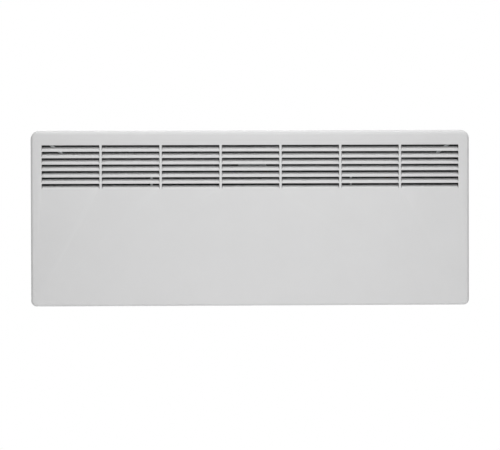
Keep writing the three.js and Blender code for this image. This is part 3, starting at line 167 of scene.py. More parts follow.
def mesh_object(name, points, faces, material=None):
    """A new object from points and faces, with doubles merged."""
    mesh = bpy.data.meshes.new(name)
    mesh.from_pydata([tuple(p) for p in points], [], faces)
    work = bmesh.new()
    work.from_mesh(mesh)
    bmesh.ops.remove_doubles(work, verts=work.verts, dist=DOUBLES)
    bmesh.ops.recalc_face_normals(work, faces=work.faces)
    work.to_mesh(mesh)
    work.free()
    if material:
        mesh.materials.append(material)
    return linked(name, mesh)


def worked_object(name, work, material):
    """A new object from a mesh under work."""
    mesh = bpy.data.meshes.new(name)
    work.to_mesh(mesh)
    work.free()
    mesh.materials.append(material)
    return linked(name, mesh)


def apply_modifiers(piece):
    """Turns the shown shape into the object's own mesh."""
    graph = bpy.context.evaluated_depsgraph_get()
    shown = bpy.data.meshes.new_from_object(piece.evaluated_get(graph))
    piece.modifiers.clear()
    piece.data = shown


def smooth_by_angle(piece, degrees=SMOOTH_ANGLE):
    """Smooth shading, with the sharper edges kept hard."""
    piece.data.shade_smooth()
    work = bmesh.new()
    work.from_mesh(piece.data)
    limit = math.radians(degrees)
    for edge in work.edges:
        edge.smooth = edge.is_manifold and edge.calc_face_angle(0) < limit
    work.to_mesh(piece.data)
    work.free()


def fill_region(outline, holes):
    """Triangles over a flat region in (a, b), with an outline and closed holes."""
    points = []
    edges = []
    for loop in [outline, *holes]:
        first = len(points)
        points.extend(Vector(p) for p in loop)
        edges.extend((first + k, first + (k + 1) % len(loop)) for k in range(len(loop)))
    verts, _, faces, *_ = geometry.delaunay_2d_cdt(points, edges, [], 0, 1e-7)
    kept = [face for face in faces if inside(centre_of(verts, face), outline)]
    for hole in holes:
        kept = [face for face in kept if not inside(centre_of(verts, face), hole)]
    return verts, kept


def centre_of(verts, face):
    """The middle of a flat face."""
    return sum((verts[k] for k in face), Vector((0, 0))) / len(face)


def inside(point, loop):
    """Whether a flat point lies inside a closed loop."""
    x, y = point
    odd = False
    for (x0, y0), (x1, y1) in zip(loop, loop[1:] + loop[:1]):
        if (y0 > y) != (y1 > y) and x < (x1 - x0) * (y - y0) / (y1 - y0) + x0:
            odd = not odd
    return odd


class Skin:
    """Collects the points and faces of one thin surface."""

    def __init__(self):
        self.points = []
        self.faces = []

    def patch(self, points, faces):
        first = len(self.points)
        self.points.extend(Vector(p) for p in points)
        self.faces.extend(tuple(first + k for k in face) for face in faces)

    def band(self, low, high, closed=True, skip=()):
        """Quads between two rows of as many points."""
        count = len(low)
        faces = []
        for k in range(count if closed else count - 1):
            if k not in skip:
                after = (k + 1) % count
                faces.append((k, after, count + after, count + k))
        self.patch([*low, *high], faces)

    def bands(self, rows, closed=True):
        """Quads between each row and the next."""
        for low, high in zip(rows, rows[1:]):
            self.band(low, high, closed)

    def flat(self, outline, holes, place):
        """A flat wall with holes, put in place from its two flat lengths."""
        verts, faces = fill_region(outline, holes)
        self.patch([place(v.x, v.y) for v in verts], faces)


def tray_ring(y, inset, corners):
    """One ring of a tray: the panel's outline drawn in at each edge, at depth y."""
    ring = []
    for side_x, side_z, start in ((1, -1, -90), (1, 1, 0), (-1, 1, 90), (-1, -1, 180)):
        inset_z = inset["top"] if side_z > 0 else inset["bottom"]
        radius = corners["top"] if side_z > 0 else corners["bottom"]
        radius_x = max(radius - inset["side"], CORNER_LEAST)
        radius_z = max(radius - inset_z, CORNER_LEAST)
        centre_x = side_x * (HALF_WIDTH - inset["side"] - radius_x)
        centre_z = side_z * (HALF_HEIGHT - inset_z - radius_z)
        for k in range(CORNER_STEPS + 1):
            angle = math.radians(start + 90 * k / CORNER_STEPS)
            x = centre_x + radius_x * math.cos(angle)
            z = centre_z + radius_z * math.sin(angle)
            ring.append(Vector((x, y, z)))
    return ring


def even(inset):
    return {"top": inset, "side": inset, "bottom": inset}


def quarter(steps):
    """The sine and cosine at even steps of a quarter turn."""
    angles = [math.pi / 2 * k / steps for k in range(steps + 1)]
    return [(math.sin(angle), math.cos(angle)) for angle in angles]


# ---- Front panel's mesh ----

def lip_rings():
    """The bend from the return lip to the side wall."""
    return [
        tray_ring(LIP_BACK - LIP_BEND * (1 - sine), even(LIP_BEND * (1 - cosine)), PANEL_CORNERS)
        for sine, cosine in reversed(quarter(LIP_BEND_STEPS))
    ]


def roll_rings():
    """The rounded edge of the panel, from the side wall to the face."""
    rings = []
    for sine, cosine in reversed(quarter(ROLL_STEPS)):
        inset = {edge: size * (1 - sine) for edge, size in ROLL.items()}
        rings.append(tray_ring(FRONT + ROLL_DEPTH * (1 - cosine), inset, PANEL_CORNERS))
    return rings


def louvre_places():
    """The span along x, the hinge line and the tilt error of each louvre."""
    chance = random.Random(11)
    width = (2 * (HALF_WIDTH - GRILLE_SIDE) - (LOUVRE_COLUMNS - 1) * MULLION) / LOUVRE_COLUMNS
    places = []
    for row in range(LOUVRE_ROWS):
        hinge = HALF_HEIGHT - GRILLE_TOP - row * LOUVRE_PITCH - LOUVRE_HEIGHT
        for column in range(LOUVRE_COLUMNS):
            left = -HALF_WIDTH + GRILLE_SIDE + column * (width + MULLION)
            places.append((left, left + width, hinge, chance.uniform(-1, 1) * LOUVRE_SPREAD))
    return places


def tongue_section(angle):
    """The front skin of a tongue as (depth, height) above its hinge line."""
    radius = LOUVRE_BEND + SHEET / 2
    section = []
    for k in range(LOUVRE_BEND_STEPS + 1):
        turn = angle * k / LOUVRE_BEND_STEPS
        section.append((radius * (1 - math.cos(turn)), radius * math.sin(turn)))
    straight = LOUVRE_HEIGHT - LOUVRE_BEND * angle
    depth, height = section[-1]
    for share in (0.5, 1):
        section.append((
            depth + share * straight * math.sin(angle),
            height + share * straight * math.cos(angle),
        ))
    return section


def tongue_columns(left, right):
    """The places along a tongue's hinge line, clear of the slit's ends."""
    inner = (left + LOUVRE_END_GAP, right - LOUVRE_END_GAP)
    return [inner[0] + (inner[1] - inner[0]) * k / LOUVRE_PARTS for k in range(LOUVRE_PARTS + 1)]


def add_tongue(skin, left, right, hinge, error):
    """A bent tongue that narrows towards its tip."""
    section = tongue_section(LOUVRE_ANGLE + error)
    middle = (left + right) / 2
    top = section[-1][1]
    rows = []
    for depth, height in section:
        drawn_in = 1 - 2 * LOUVRE_TAPER * height / top / (right - left)
        rows.append([
            (middle + (x - middle) * drawn_in, FRONT + depth, hinge + height)
            for x in tongue_columns(left, right)
        ])
    skin.bands(rows, closed=False)


def add_face(skin, ring):
    """The flat face inside the rounded edge, open at each slit."""
    holes = []
    for left, right, hinge, _ in louvre_places():
        top = hinge + LOUVRE_HEIGHT
        lower = [(x, hinge) for x in tongue_columns(left, right)]
        holes.append([(left, hinge), *lower, (right, hinge), (right, top), (left, top)])
    skin.flat([(p.x, p.z) for p in ring], holes, lambda x, z: (x, FRONT, z))


def panel_skin():
    """The panel's outer surface: lip, side walls, rounded edge, face and tongues."""
    skin = Skin()
    rings = [tray_ring(LIP_BACK, even(PANEL_LIP), PANEL_CORNERS), *lip_rings(), *roll_rings()]
    skin.bands(rings)
    add_face(skin, rings[-1])
    for place in louvre_places():
        add_tongue(skin, *place)
    return skin


def add_bevel(piece, name, width, angle):
    """Rounds the edges that are sharper than an angle."""
    bevel = piece.modifiers.new(name, "BEVEL")
    bevel.width = width
    bevel.segments = 2
    bevel.limit_method = "ANGLE"
    bevel.angle_limit = angle
    bevel.use_clamp_overlap = True


def thicken(piece, edge):
    """Gives a skin its sheet thickness, inwards, and takes the sharpness off the cut edges."""
    solid = piece.modifiers.new("sheet", "SOLIDIFY")
    solid.thickness = SHEET
    solid.offset = -1
    solid.use_even_offset = True
    solid.use_quality_normals = True
    add_bevel(piece, "cut_edges", edge, CUT_EDGE_ANGLE)
    apply_modifiers(piece)


def front_panel(material):
    """The pressed front sheet, in the place of its node."""
    near = (0, FRONT, -HALF_HEIGHT / 2)
    piece = sheet_piece("panel_sheet", panel_skin(), near, (0, -1, 0), CUT_EDGES["panel"], material)
    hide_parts("front_panel")
    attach(piece, "heater")


def face_outwards(piece, near, direction):
    """Flips the skin if its face nearest to a point looks the wrong way."""
    nearest = min(piece.data.polygons, key=lambda face: (face.center - Vector(near)).length)
    if nearest.normal.dot(Vector(direction)) < 0:
        piece.data.flip_normals()


def sheet_piece(name, skin, near, direction, edge, material):
    """A pressed sheet made from its outer skin."""
    piece = mesh_object(name, skin.points, skin.faces, material)
    face_outwards(piece, near, direction)
    thicken(piece, edge)
    smooth_by_angle(piece)
    return piece


# ---- Rear casing's mesh ----

FLANGE_BACK = FLANGE_FRONT + SHEET
CASING_SIDE = HALF_WIDTH - CASING_INSET
CASING_BOTTOM = -HALF_HEIGHT + CASING_INSET
CONTROL_Y = (FLANGE_BACK + CASING_BACK - CASING_EDGE) / 2
RING_CORNER = CORNER_STEPS + 1


def circle(a, b, radius, steps=24):
    """A closed loop about (a, b)."""
    return [
        (a + radius * math.cos(2 * math.pi * k / steps), b + radius * math.sin(2 * math.pi * k / steps))
        for k in range(steps)
    ]


def stadium(a, b, half, radius, steps=8):
    """A slot with round ends along its first axis."""
    reach = half - radius
    loop = []
    for side in (1, -1):
        for k in range(steps + 1):
            angle = math.pi * (k / steps - 0.5)
            along = a + side * (reach + radius * math.cos(angle))
            loop.append((along, b + side * radius * math.sin(angle)))
    return loop


def rounded_rectangle(a, b, width, height, radius, steps=5):
    """A closed loop about (a, b), with its corners as arcs."""
    loop = []
    for quarter, (side_a, side_b) in enumerate(((1, 1), (-1, 1), (-1, -1), (1, -1))):
        for k in range(steps + 1):
            angle = math.pi / 2 * (quarter + k / steps)
            loop.append((
                a + side_a * (width / 2 - radius) + radius * math.cos(angle),
                b + side_b * (height / 2 - radius) + radius * math.sin(angle),
            ))
    return loop


def intake_slots():
    """The rows of air intake slots in the bottom wall, as loops in (x, y)."""
    slots = []
    for row in range(INTAKE["rows"]):
        y = CONTROL_Y + (row - (INTAKE["rows"] - 1) / 2) * INTAKE["pitch_y"]
        for column in range(INTAKE["columns"]):
            x = (column - (INTAKE["columns"] - 1) / 2) * INTAKE["pitch_x"]
            slots.append(stadium(x, y, INTAKE["length"] / 2, INTAKE["width"] / 2))
    return slots


def hook_slots():
    """The two slots that the bracket's hooks reach through, as loops in (x, y)."""
    middle = (HOOK_SLOT["front"] + HOOK_SLOT["back"]) / 2
    length = HOOK_SLOT["back"] - HOOK_SLOT["front"]
    return [
        rounded_rectangle(side * HOOK_SLOT["x"], middle, HOOK_SLOT["width"], length, HOOK_SLOT["corner"], 2)
        for side in (-1, 1)
    ]


def pressed_shape(skin, loops, depths):
    """Bands from a hole in the back down to a pressed floor."""
    skin.bands([
        [(x, CASING_BACK - depth, z) for x, z in loop]
        for loop, depth in zip(loops, depths)
    ])
    skin.flat(loops[-1], [], lambda x, z: (x, CASING_BACK - depths[-1], z))


def weld_places():
    """Where the inner sheets' feet are spot-welded to the back."""
    places = []
    for row in (SHIELD_WELDS, BRACKET_WELDS):
        places += [(side * row["x"], z * MM) for side in (-1, 1) for z in row["heights"]]
    places += [(x * MM, DEFLECTOR_WELDS["z"]) for x in DEFLECTOR_WELDS["along"]]
    places += [(x * MM, z * MM) for x in REFLECTOR_WELDS["along"] for z in REFLECTOR_WELDS["heights"]]
    return places


def add_beads(skin):
    """Presses the stiffening beads in the back, and gives their outlines."""
    shares = [k / BEAD_STEPS for k in range(BEAD_STEPS + 1)]
    radii = [BEAD["radius"] + (BEAD["floor"] - BEAD["radius"]) * share for share in shares]
    depths = [BEAD["depth"] * share * share * (3 - 2 * share) for share in shares]
    reach = BEAD["half"] - BEAD["radius"]
    outlines = []
    for height in BEAD["heights"]:
        loops = [stadium(0, height, reach + radius, radius, BEAD_END_STEPS) for radius in radii]
        pressed_shape(skin, loops, depths)
        outlines.append(loops[0])
    return outlines


def add_welds(skin):
    """Marks the spot welds in the back, and gives their outlines."""
    radii = (WELD["radius"], (WELD["radius"] + WELD["floor"]) / 2, WELD["floor"])
    depths = (0, WELD["depth"] * WELD["slope"], WELD["depth"])
    outlines = []
    for x, z in weld_places():
        loops = [circle(x, z, radius, WELD_STEPS) for radius in radii]
        pressed_shape(skin, loops, depths)
        outlines.append(loops[0])
    return outlines


def add_back(skin, ring):
    """The flat back with its pressed beads and weld marks."""
    holes = [*add_beads(skin), *add_welds(skin)]
    skin.flat([(p.x, p.z) for p in ring], holes, lambda x, z: (x, CASING_BACK, z))


def add_bottom_wall(skin, corners):
    """The bottom wall with its intake slots, hook slots and gland hole."""
    gland = circle(GLAND_HOLE["x"], CONTROL_Y, GLAND_HOLE["radius"])
    holes = [*intake_slots(), *hook_slots(), gland]
    skin.flat([(p.x, p.y) for p in corners], holes, lambda x, y: (x, y, CASING_BOTTOM))


def add_control_wall(skin, corners):
    """The right side wall with the control unit's opening."""
    size = (CONTROL_HOLE["width"], CONTROL_HOLE["height"], CONTROL_HOLE["corner"])
    opening = rounded_rectangle(CONTROL_Y, CONTROL_HOLE["z"], *size)
    skin.flat([(p.y, p.z) for p in corners], [opening], lambda y, z: (CASING_SIDE, y, z))


def casing_ring(y, inset):
    return tray_ring(y, even(inset), CASING_CORNERS)


def flange_rings():
    """The flange and its bend to the side walls."""
    bend = [
        casing_ring(FLANGE_BACK + FLANGE_BEND * (1 - cosine), CASING_INSET - FLANGE_BEND * (1 - sine))
        for sine, cosine in quarter(FLANGE_BEND_STEPS)
    ]
    return [casing_ring(FLANGE_BACK, CASING_INSET - CASING_FLANGE), *bend]


def edge_rings():
    """The rounded edge from the side walls to the back."""
    return [
        casing_ring(CASING_BACK - CASING_EDGE * (1 - sine), CASING_INSET + CASING_EDGE * (1 - cosine))
        for sine, cosine in quarter(CASING_EDGE_STEPS)
    ]


def casing_skin():
    """The casing's outer surface: flange, walls, rounded edge and back."""
    skin = Skin()
    flange = flange_rings()
    edge = edge_rings()
    skin.bands(flange)
    skin.bands(edge)
    front = flange[-1]
    back = edge[0]
    right = RING_CORNER - 1
    bottom = len(front) - 1
    skin.band(front, back, skip=(right, bottom))
    add_bottom_wall(skin, [front[bottom], front[0], back[0], back[bottom]])
    add_control_wall(skin, [front[right], front[right + 1], back[right + 1], back[right]])
    add_back(skin, edge[-1])
    return skin


def rear_casing(material):
    """The drawn tray, in the place of its node."""
    near = (0, CASING_BACK, 0)
    piece = sheet_piece("casing_sheet", casing_skin(), near, (0, 1, 0), CUT_EDGES["casing"], material)
    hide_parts("rear_casing")
    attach(piece, "heater")


# ---- Small pieces ----

BOX_CORNERS = ((-1, -1), (1, -1), (1, 1), (-1, 1))
BOX_FACES = ((3, 2, 1, 0), (4, 5, 6, 7), (0, 1, 5, 4), (1, 2, 6, 5), (2, 3, 7, 6), (3, 0, 4, 7))
HEAD_SINK = 0.2
HEAD_RIM = 0.25
HEAD_FULLNESS = 0.6
HEAD_STEPS = 8
RECESS = {"width": 0.62, "depth": 0.55, "mouth": 1.6, "floor": 0.55, "blade": 0.17}
CASING_SCREW = {"radius": 3.6 * MM, "height": 2.2 * MM}
CASING_SCREW_COLUMNS = (-420, -210, 0, 210, 420)
CASING_SCREW_ROWS = (-95, 95)
KEEPER_RIVET = {"radius": 1.7 * MM, "height": 0.8 * MM}
KEEPER_FOOT = {"from_end": 5.6 * MM, "rise": 4.2 * MM, "sheet": 1.5 * MM}
BLOCK_SCREW = {"radius": 2.5 * MM, "height": 1.6 * MM, "bevel": 0.3 * MM, "sunk": 0.1 * MM, "turn": 0.4}
BLOCK_SLOT = {"reach": 4 * MM, "half": 0.35 * MM, "floor": 0.9 * MM, "top": 3 * MM}
BLOCK_POLES = 3


def ring_faces(rows, steps):
    """Quads between closed rings of as many points."""
    faces = []
    for row in range(rows - 1):
        low = row * steps
        for k in range(steps):
            after = (k + 1) % steps
            faces.append((low + k, low + after, low + steps + after, low + steps + k))
    return faces


def lathe(profile, steps=32):
    """A turned shape about local Z from (radius, height) pairs, the first and last on the axis."""
    points = [(x, y, height) for radius, height in profile for x, y in circle(0, 0, radius, steps)]
    return points, ring_faces(len(profile), steps)


def cut_away(piece, tool):
    """Cuts one mesh out of another and drops the tool."""
    boolean = piece.modifiers.new("cut", "BOOLEAN")
    boolean.operation = "DIFFERENCE"
    boolean.solver = "EXACT"
    boolean.object = tool
    apply_modifiers(piece)
    bpy.data.objects.remove(tool)


def cross_recess(width, depth, top):
    """Two crossed wedges that narrow with depth."""
    points = []
    faces = []
    for turned in (False, True):
        first = len(points)
        for level, share in ((top + depth, RECESS["mouth"]), (top - depth, RECESS["floor"])):
            for a, b in BOX_CORNERS:
                x = a * width * share
                y = b * width * RECESS["blade"] * share
                points.append((-y, x, level) if turned else (x, y, level))
        faces += [tuple(first + k for k in face) for face in BOX_FACES]
    return points, faces


def pan_head(radius, height):
    """The head of a pan-head screw, with its cross recess, standing on local z = 0."""
    sunk = -HEAD_SINK * height
    profile = [(0, sunk), (radius, sunk), (radius, HEAD_RIM * height)]
    for sine, cosine in quarter(HEAD_STEPS)[1:-1]:
        rise = HEAD_RIM + (1 - HEAD_RIM) * sine
        profile.append((radius * cosine ** HEAD_FULLNESS, height * rise))
    profile.append((0, height))
    head = mesh_object("screw_head", *lathe(profile))
    recess = cross_recess(RECESS["width"] * radius, RECESS["depth"] * height, height)
    cut_away(head, mesh_object("recess", *recess))
    return head


def rivet_head(radius, height):
    """A domed rivet head, standing on local z = 0."""
    sunk = -HEAD_SINK * height
    profile = [(0, sunk), (radius, sunk)]
    profile += [(radius * cosine, height * sine) for sine, cosine in quarter(HEAD_STEPS)]
    return mesh_object("rivet_head", *lathe(profile, 24))


def slotted_head():
    """The flat head of a slotted screw, standing on local z = 0."""
    radius = BLOCK_SCREW["radius"]
    height = BLOCK_SCREW["height"]
    bevel = BLOCK_SCREW["bevel"]
    profile = [(0, 0), (radius, 0), (radius, height - bevel), (radius - bevel, height), (0, height)]
    head = mesh_object("block_screw", *lathe(profile))
    slot = [
        (x * BLOCK_SLOT["reach"], y * BLOCK_SLOT["half"], z)
        for z in (BLOCK_SLOT["floor"], BLOCK_SLOT["top"])
        for x, y in BOX_CORNERS
    ]
    cut_away(head, mesh_object("slot", slot, BOX_FACES))
    return head


def copies(name, master, frames, material, body):
    """One piece made of copies of a mesh at several places."""
    work = bmesh.new()
    for matrix in frames:
        start = len(work.verts)
        work.from_mesh(master.data)
        work.verts.ensure_lookup_table()
        bmesh.ops.transform(work, matrix=matrix, verts=work.verts[start:])
    piece = worked_object(name, work, material)
    smooth_by_angle(piece)
    bpy.data.objects.remove(master)
    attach(piece, body)


def facing(direction, place, spin=0.0):
    """A frame whose local Z looks along a direction."""
    turn = Vector(direction).to_track_quat("Z", "Y").to_matrix().to_4x4()
    return Matrix.Translation(place) @ turn @ Matrix.Rotation(spin, 4, "Z")


def casing_screws(material):
    """Pan-head screws through the casing's flange into the panel's return lip."""
    chance = random.Random(5)
    inset = CASING_INSET - CASING_FLANGE / 2
    places = [(x * MM, side * (HALF_HEIGHT - inset)) for x in CASING_SCREW_COLUMNS for side in (-1, 1)]
    places += [(side * (HALF_WIDTH - inset), z * MM) for z in CASING_SCREW_ROWS for side in (-1, 1)]
    frames = [facing((0, 1, 0), (x, FLANGE_BACK, z), chance.uniform(0, math.pi)) for x, z in places]
    head = pan_head(CASING_SCREW["radius"], CASING_SCREW["height"])
    copies("casing_screws", head, frames, material, "heater")


def keeper_rivets(material):
    """Two rivets through the foot of each catch keeper."""
    back = CASING_BACK + KEEPER_FOOT["sheet"]
    frames = []
    for side, node in ((-1, "catch_keeper_left"), (1, "catch_keeper_right")):
        low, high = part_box(node)
        foot = max(abs(low.x), abs(high.x)) - KEEPER_FOOT["from_end"]
        middle = (low.z + high.z) / 2
        for rise in (-KEEPER_FOOT["rise"], KEEPER_FOOT["rise"]):
            frames.append(facing((0, 1, 0), (side * foot, back, middle + rise)))
    head = rivet_head(KEEPER_RIVET["radius"], KEEPER_RIVET["height"])
    copies("keeper_rivets", head, frames, material, "heater")


def block_screws(material):
    """Slotted brass screws down in the terminal block's holes."""
    low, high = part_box("terminal_block")
    middle = (low + high) / 2
    pitch = (high.x - low.x) / BLOCK_POLES
    depth = middle.y - BLOCK_SCREW["sunk"]
    frames = [
        facing((0, -1, 0), (middle.x + k * pitch, depth, middle.z), BLOCK_SCREW["turn"] * k)
        for k in (-1, 0, 1)
    ]
    copies("block_screws", slotted_head(), frames, material, "heater")


# ---- Knob and dial ----

KNOB_LOW, KNOB_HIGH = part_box("thermostat_knob")
KNOB_AT = (KNOB_LOW + KNOB_HIGH) / 2
KNOB_RADIUS = (KNOB_HIGH.z - KNOB_LOW.z) / 2
KNOB_HEIGHT = KNOB_HIGH.x - KNOB_LOW.x
KNOB_BASE = {"bore": 3.4 * MM, "recess": 8.2 * MM, "foot": 8.4 * MM, "step": 0.4 * MM, "edge": 0.25 * MM}
KNOB_SKIRT = {"plain": 1.6 * MM, "fluted": 2.4 * MM, "draw": 0.05 * MM}
KNOB_TAPER = 0.35 * MM
KNOB_CROWN = {"width": 1.5 * MM, "height": 1.8 * MM, "steps": 6}
KNOB_DISH = 0.35 * MM
KNOB_FACE_SHARES = (0.8, 0.5, 0.2, 0)
KNOB_SMOOTH_ANGLE = 50
FLUTES = 24
FLUTE_STEPS = 8
FLUTE_DEPTH = 0.55 * MM
FLUTE_FULLNESS = 0.7
POINTER = {"half": 0.45 * MM, "above": 0.06 * MM, "depth": 0.5 * MM, "inset": 0.2 * MM}
POINTER_ROWS = (
    (0.3, -0.29),
    (0.42, -0.25),
    (0.6, -0.15),
    (0.8, -0.005),
    (0.86, -0.11),
    (0.93, -0.68),
    (0.95, -1.2),
)
DIAL_STEP = math.radians(30)
DIAL_TICKS = 10
TICK = {"gap": 0.6 * MM, "even": 1.5 * MM, "odd": 1.0 * MM, "width": 0.35 * MM, "corner": 0.17 * MM}
INK = {"above": 0.05 * MM, "depth": 0.06 * MM}
NUMBER = {"gap": 3.7 * MM, "size": 2.4 * MM, "ink": 0.03 * MM}
TURNED_TO_X = Matrix(((0, 0, 1), (1, 0, 0), (0, 1, 0))).to_4x4()


def knob_profile():
    """The cap's section: radius, distance along its axis and share of the flutes' depth."""
    shoulder = KNOB_RADIUS - KNOB_TAPER
    profile = [
        (KNOB_BASE["bore"], KNOB_BASE["step"], 0),
        (KNOB_BASE["recess"], KNOB_BASE["step"], 0),
        (KNOB_BASE["foot"], 0, 0),
        (KNOB_RADIUS - KNOB_BASE["edge"], 0, 0),
        (KNOB_RADIUS, KNOB_BASE["edge"], 0.2),
        (KNOB_RADIUS, KNOB_SKIRT["plain"], 0.4),
        (KNOB_RADIUS - KNOB_SKIRT["draw"], KNOB_SKIRT["fluted"], 1),
        (shoulder, KNOB_HEIGHT - KNOB_CROWN["height"], 1),
    ]
    for k, (sine, cosine) in enumerate(quarter(KNOB_CROWN["steps"])[1:], 1):
        radius = shoulder - KNOB_CROWN["width"] * (1 - cosine)
        along = KNOB_HEIGHT - KNOB_CROWN["height"] * (1 - sine)
        profile.append((radius, along, 1 - k / KNOB_CROWN["steps"]))
    for share in KNOB_FACE_SHARES:
        radius = (shoulder - KNOB_CROWN["width"]) * share
        profile.append((radius, KNOB_HEIGHT - KNOB_DISH * (1 - share * share), 0))
    return profile


def thermostat_knob(material):
    """The fluted cap about the spindle, in the place of its node."""
    steps = FLUTES * FLUTE_STEPS
    profile = knob_profile()
    points = []
    for radius, along, cut in profile:
        for k in range(steps):
            angle = 2 * math.pi * k / steps
            wave = max(0.0, math.cos(FLUTES * angle)) ** FLUTE_FULLNESS
            out = max(radius - FLUTE_DEPTH * cut * wave, 0)
            y = KNOB_AT.y + out * math.sin(angle)
            z = KNOB_AT.z + out * math.cos(angle)
            points.append((KNOB_LOW.x + along, y, z))
    knob = mesh_object("knob_cap", points, ring_faces(len(profile), steps), material)
    face_outwards(knob, (KNOB_HIGH.x, KNOB_AT.y, KNOB_AT.z + KNOB_RADIUS / 2), (1, 0, 0))
    smooth_by_angle(knob, KNOB_SMOOTH_ANGLE)
    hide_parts("thermostat_knob")
    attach(knob, "thermostat")


def knob_pointer(material):
    """The filled line that shows the setting, standing a hair above the cap."""
    points = []
    for share, drop in POINTER_ROWS:
        for side, under in ((-1, 0), (1, 0), (1, 1), (-1, 1)):
            x = KNOB_HIGH.x + drop * MM + POINTER["above"] - POINTER["depth"] * under
            z = KNOB_AT.z + share * KNOB_RADIUS - POINTER["inset"] * under
            points.append((x, KNOB_AT.y + side * POINTER["half"], z))
    sides = ring_faces(len(POINTER_ROWS), 4)
    last = len(points) - 4
    ends = [(0, 1, 2, 3), (last, last + 1, last + 2, last + 3)]
    pointer = mesh_object("knob_pointer", points, sides + ends, material)
    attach(pointer, "thermostat")


def dial_place(x, across, out, angle):
    """A place on the dial, from its distance across and along a line out from the knob's axis."""
    y = KNOB_AT.y + across * math.cos(angle) + out * math.sin(angle)
    z = KNOB_AT.z - across * math.sin(angle) + out * math.cos(angle)
    return (x, y, z)


def dial_ticks(material, face):
    """Printed ticks round the knob, longer at the even numbers."""
    work = bmesh.new()
    for k in range(DIAL_TICKS):
        long = TICK["even"] if k % 2 == 0 else TICK["odd"]
        middle = KNOB_RADIUS + TICK["gap"] + long / 2
        loop = rounded_rectangle(0, middle, TICK["width"], long, TICK["corner"], 3)
        corners = [
            work.verts.new(dial_place(face + INK["above"], across, out, DIAL_STEP * k))
            for across, out in loop
        ]
        sides = bmesh.ops.extrude_face_region(work, geom=[work.faces.new(corners)])
        low = [v for v in sides["geom"] if isinstance(v, bmesh.types.BMVert)]
        bmesh.ops.translate(work, vec=(-INK["depth"], 0, 0), verts=low)
    bmesh.ops.recalc_face_normals(work, faces=work.faces)
    ticks = worked_object("dial_ticks", work, material)
    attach(ticks, "heater")


def dial_scale(material):
    """Printed ticks and plain even numbers round the knob."""
    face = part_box("control_housing")[1].x
    dial_ticks(material, face)
    for number in range(0, DIAL_TICKS, 2):
        text = bpy.data.curves.new(f"dial_number_{number}", "FONT")
        text.body = str(number)
        text.size = NUMBER["size"]
        text.extrude = NUMBER["ink"]
        text.align_x = "CENTER"
        text.align_y = "CENTER"
        text.materials.append(material)
        label = linked(f"dial_number_{number}", text)
        place = dial_place(face + NUMBER["ink"], 0, KNOB_RADIUS + NUMBER["gap"], DIAL_STEP * number)
        label.matrix_world = Matrix.Translation(place) @ TURNED_TO_X
        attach(label, "heater")


# ---- Finish of the carried-over nodes ----

def feed(tree, node, inputs):
    """Sets a node's inputs to values, or links them to sockets."""
    for key, value in inputs.items():
        if isinstance(value, bpy.types.NodeSocket):
            tree.links.new(value, node.inputs[key])
        else:
            node.inputs[key].default_value = value
    return node


def add_node(tree, kind, inputs, **settings):
    """A new node with some of its settings and inputs."""
    made = tree.nodes.new(kind)
    for key, value in settings.items():
        setattr(made, key, value)
    return feed(tree, made, inputs)


def mesh_group(name):
    """An empty group for a mesh, with the nodes of its way in and out."""
    group = bpy.data.node_groups.new(name, "GeometryNodeTree")
    for way in ("INPUT", "OUTPUT"):
        group.interface.new_socket("Geometry", in_out=way, socket_type="NodeSocketGeometry")
    return group, group.nodes.new("NodeGroupInput"), group.nodes.new("NodeGroupOutput")


def tidy_group():
    """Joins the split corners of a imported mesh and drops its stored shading."""
    group, source, result = mesh_group("tidy_mesh")
    merge = add_node(group, "GeometryNodeMergeByDistance", {0: source.outputs[0], "Distance": DOUBLES})
    last = merge.outputs[0]
    for name in ("custom_normal", "sharp_edge", "sharp_face"):
        last = add_node(group, "GeometryNodeRemoveAttribute", {0: last, "Name": name}).outputs[0]
    feed(group, result, {0: last})
    return group


def shade_group(degrees):
    """Smooth shading with hard edges above an angle."""
    group, source, result = mesh_group("shade_by_angle")
    angle = add_node(group, "GeometryNodeInputMeshEdgeAngle", {}).outputs["Unsigned Angle"]
    limits = {0: angle, 1: math.radians(degrees)}
    hard = add_node(group, "FunctionNodeCompare", limits, data_type="FLOAT", operation="GREATER_THAN")
    smooth = {"Geometry": source.outputs[0]}
    faces = add_node(group, "GeometryNodeSetShadeSmooth", smooth, domain="FACE")
    sharp = {"Geometry": faces.outputs[0], "Selection": hard.outputs[0], "Shade Smooth": False}
    edges = add_node(group, "GeometryNodeSetShadeSmooth", sharp, domain="EDGE")
    feed(group, result, {0: edges.outputs[0]})
    return group


TIDY = tidy_group()
SHADE = shade_group(SMOOTH_ANGLE)
LEAD_LEVELS = 2


def refine(node, edge):
    """Rounds a carried-over node's edges, or a lead's six-sided section where no edge is given."""
    piece = NODES[node]
    piece.modifiers.new("tidy", "NODES").node_group = TIDY
    if edge:
        flat = piece.modifiers.new("flat_faces", "DECIMATE")
        flat.decimate_type = "DISSOLVE"
        flat.angle_limit = FLAT_ANGLE
        add_bevel(piece, "edges", edge, NODE_EDGE_ANGLE)
    else:
        round_off = piece.modifiers.new("round", "SUBSURF")
        round_off.levels = LEAD_LEVELS
        round_off.render_levels = LEAD_LEVELS
    piece.modifiers.new("shade", "NODES").node_group = SHADE


# ---- Materials ----

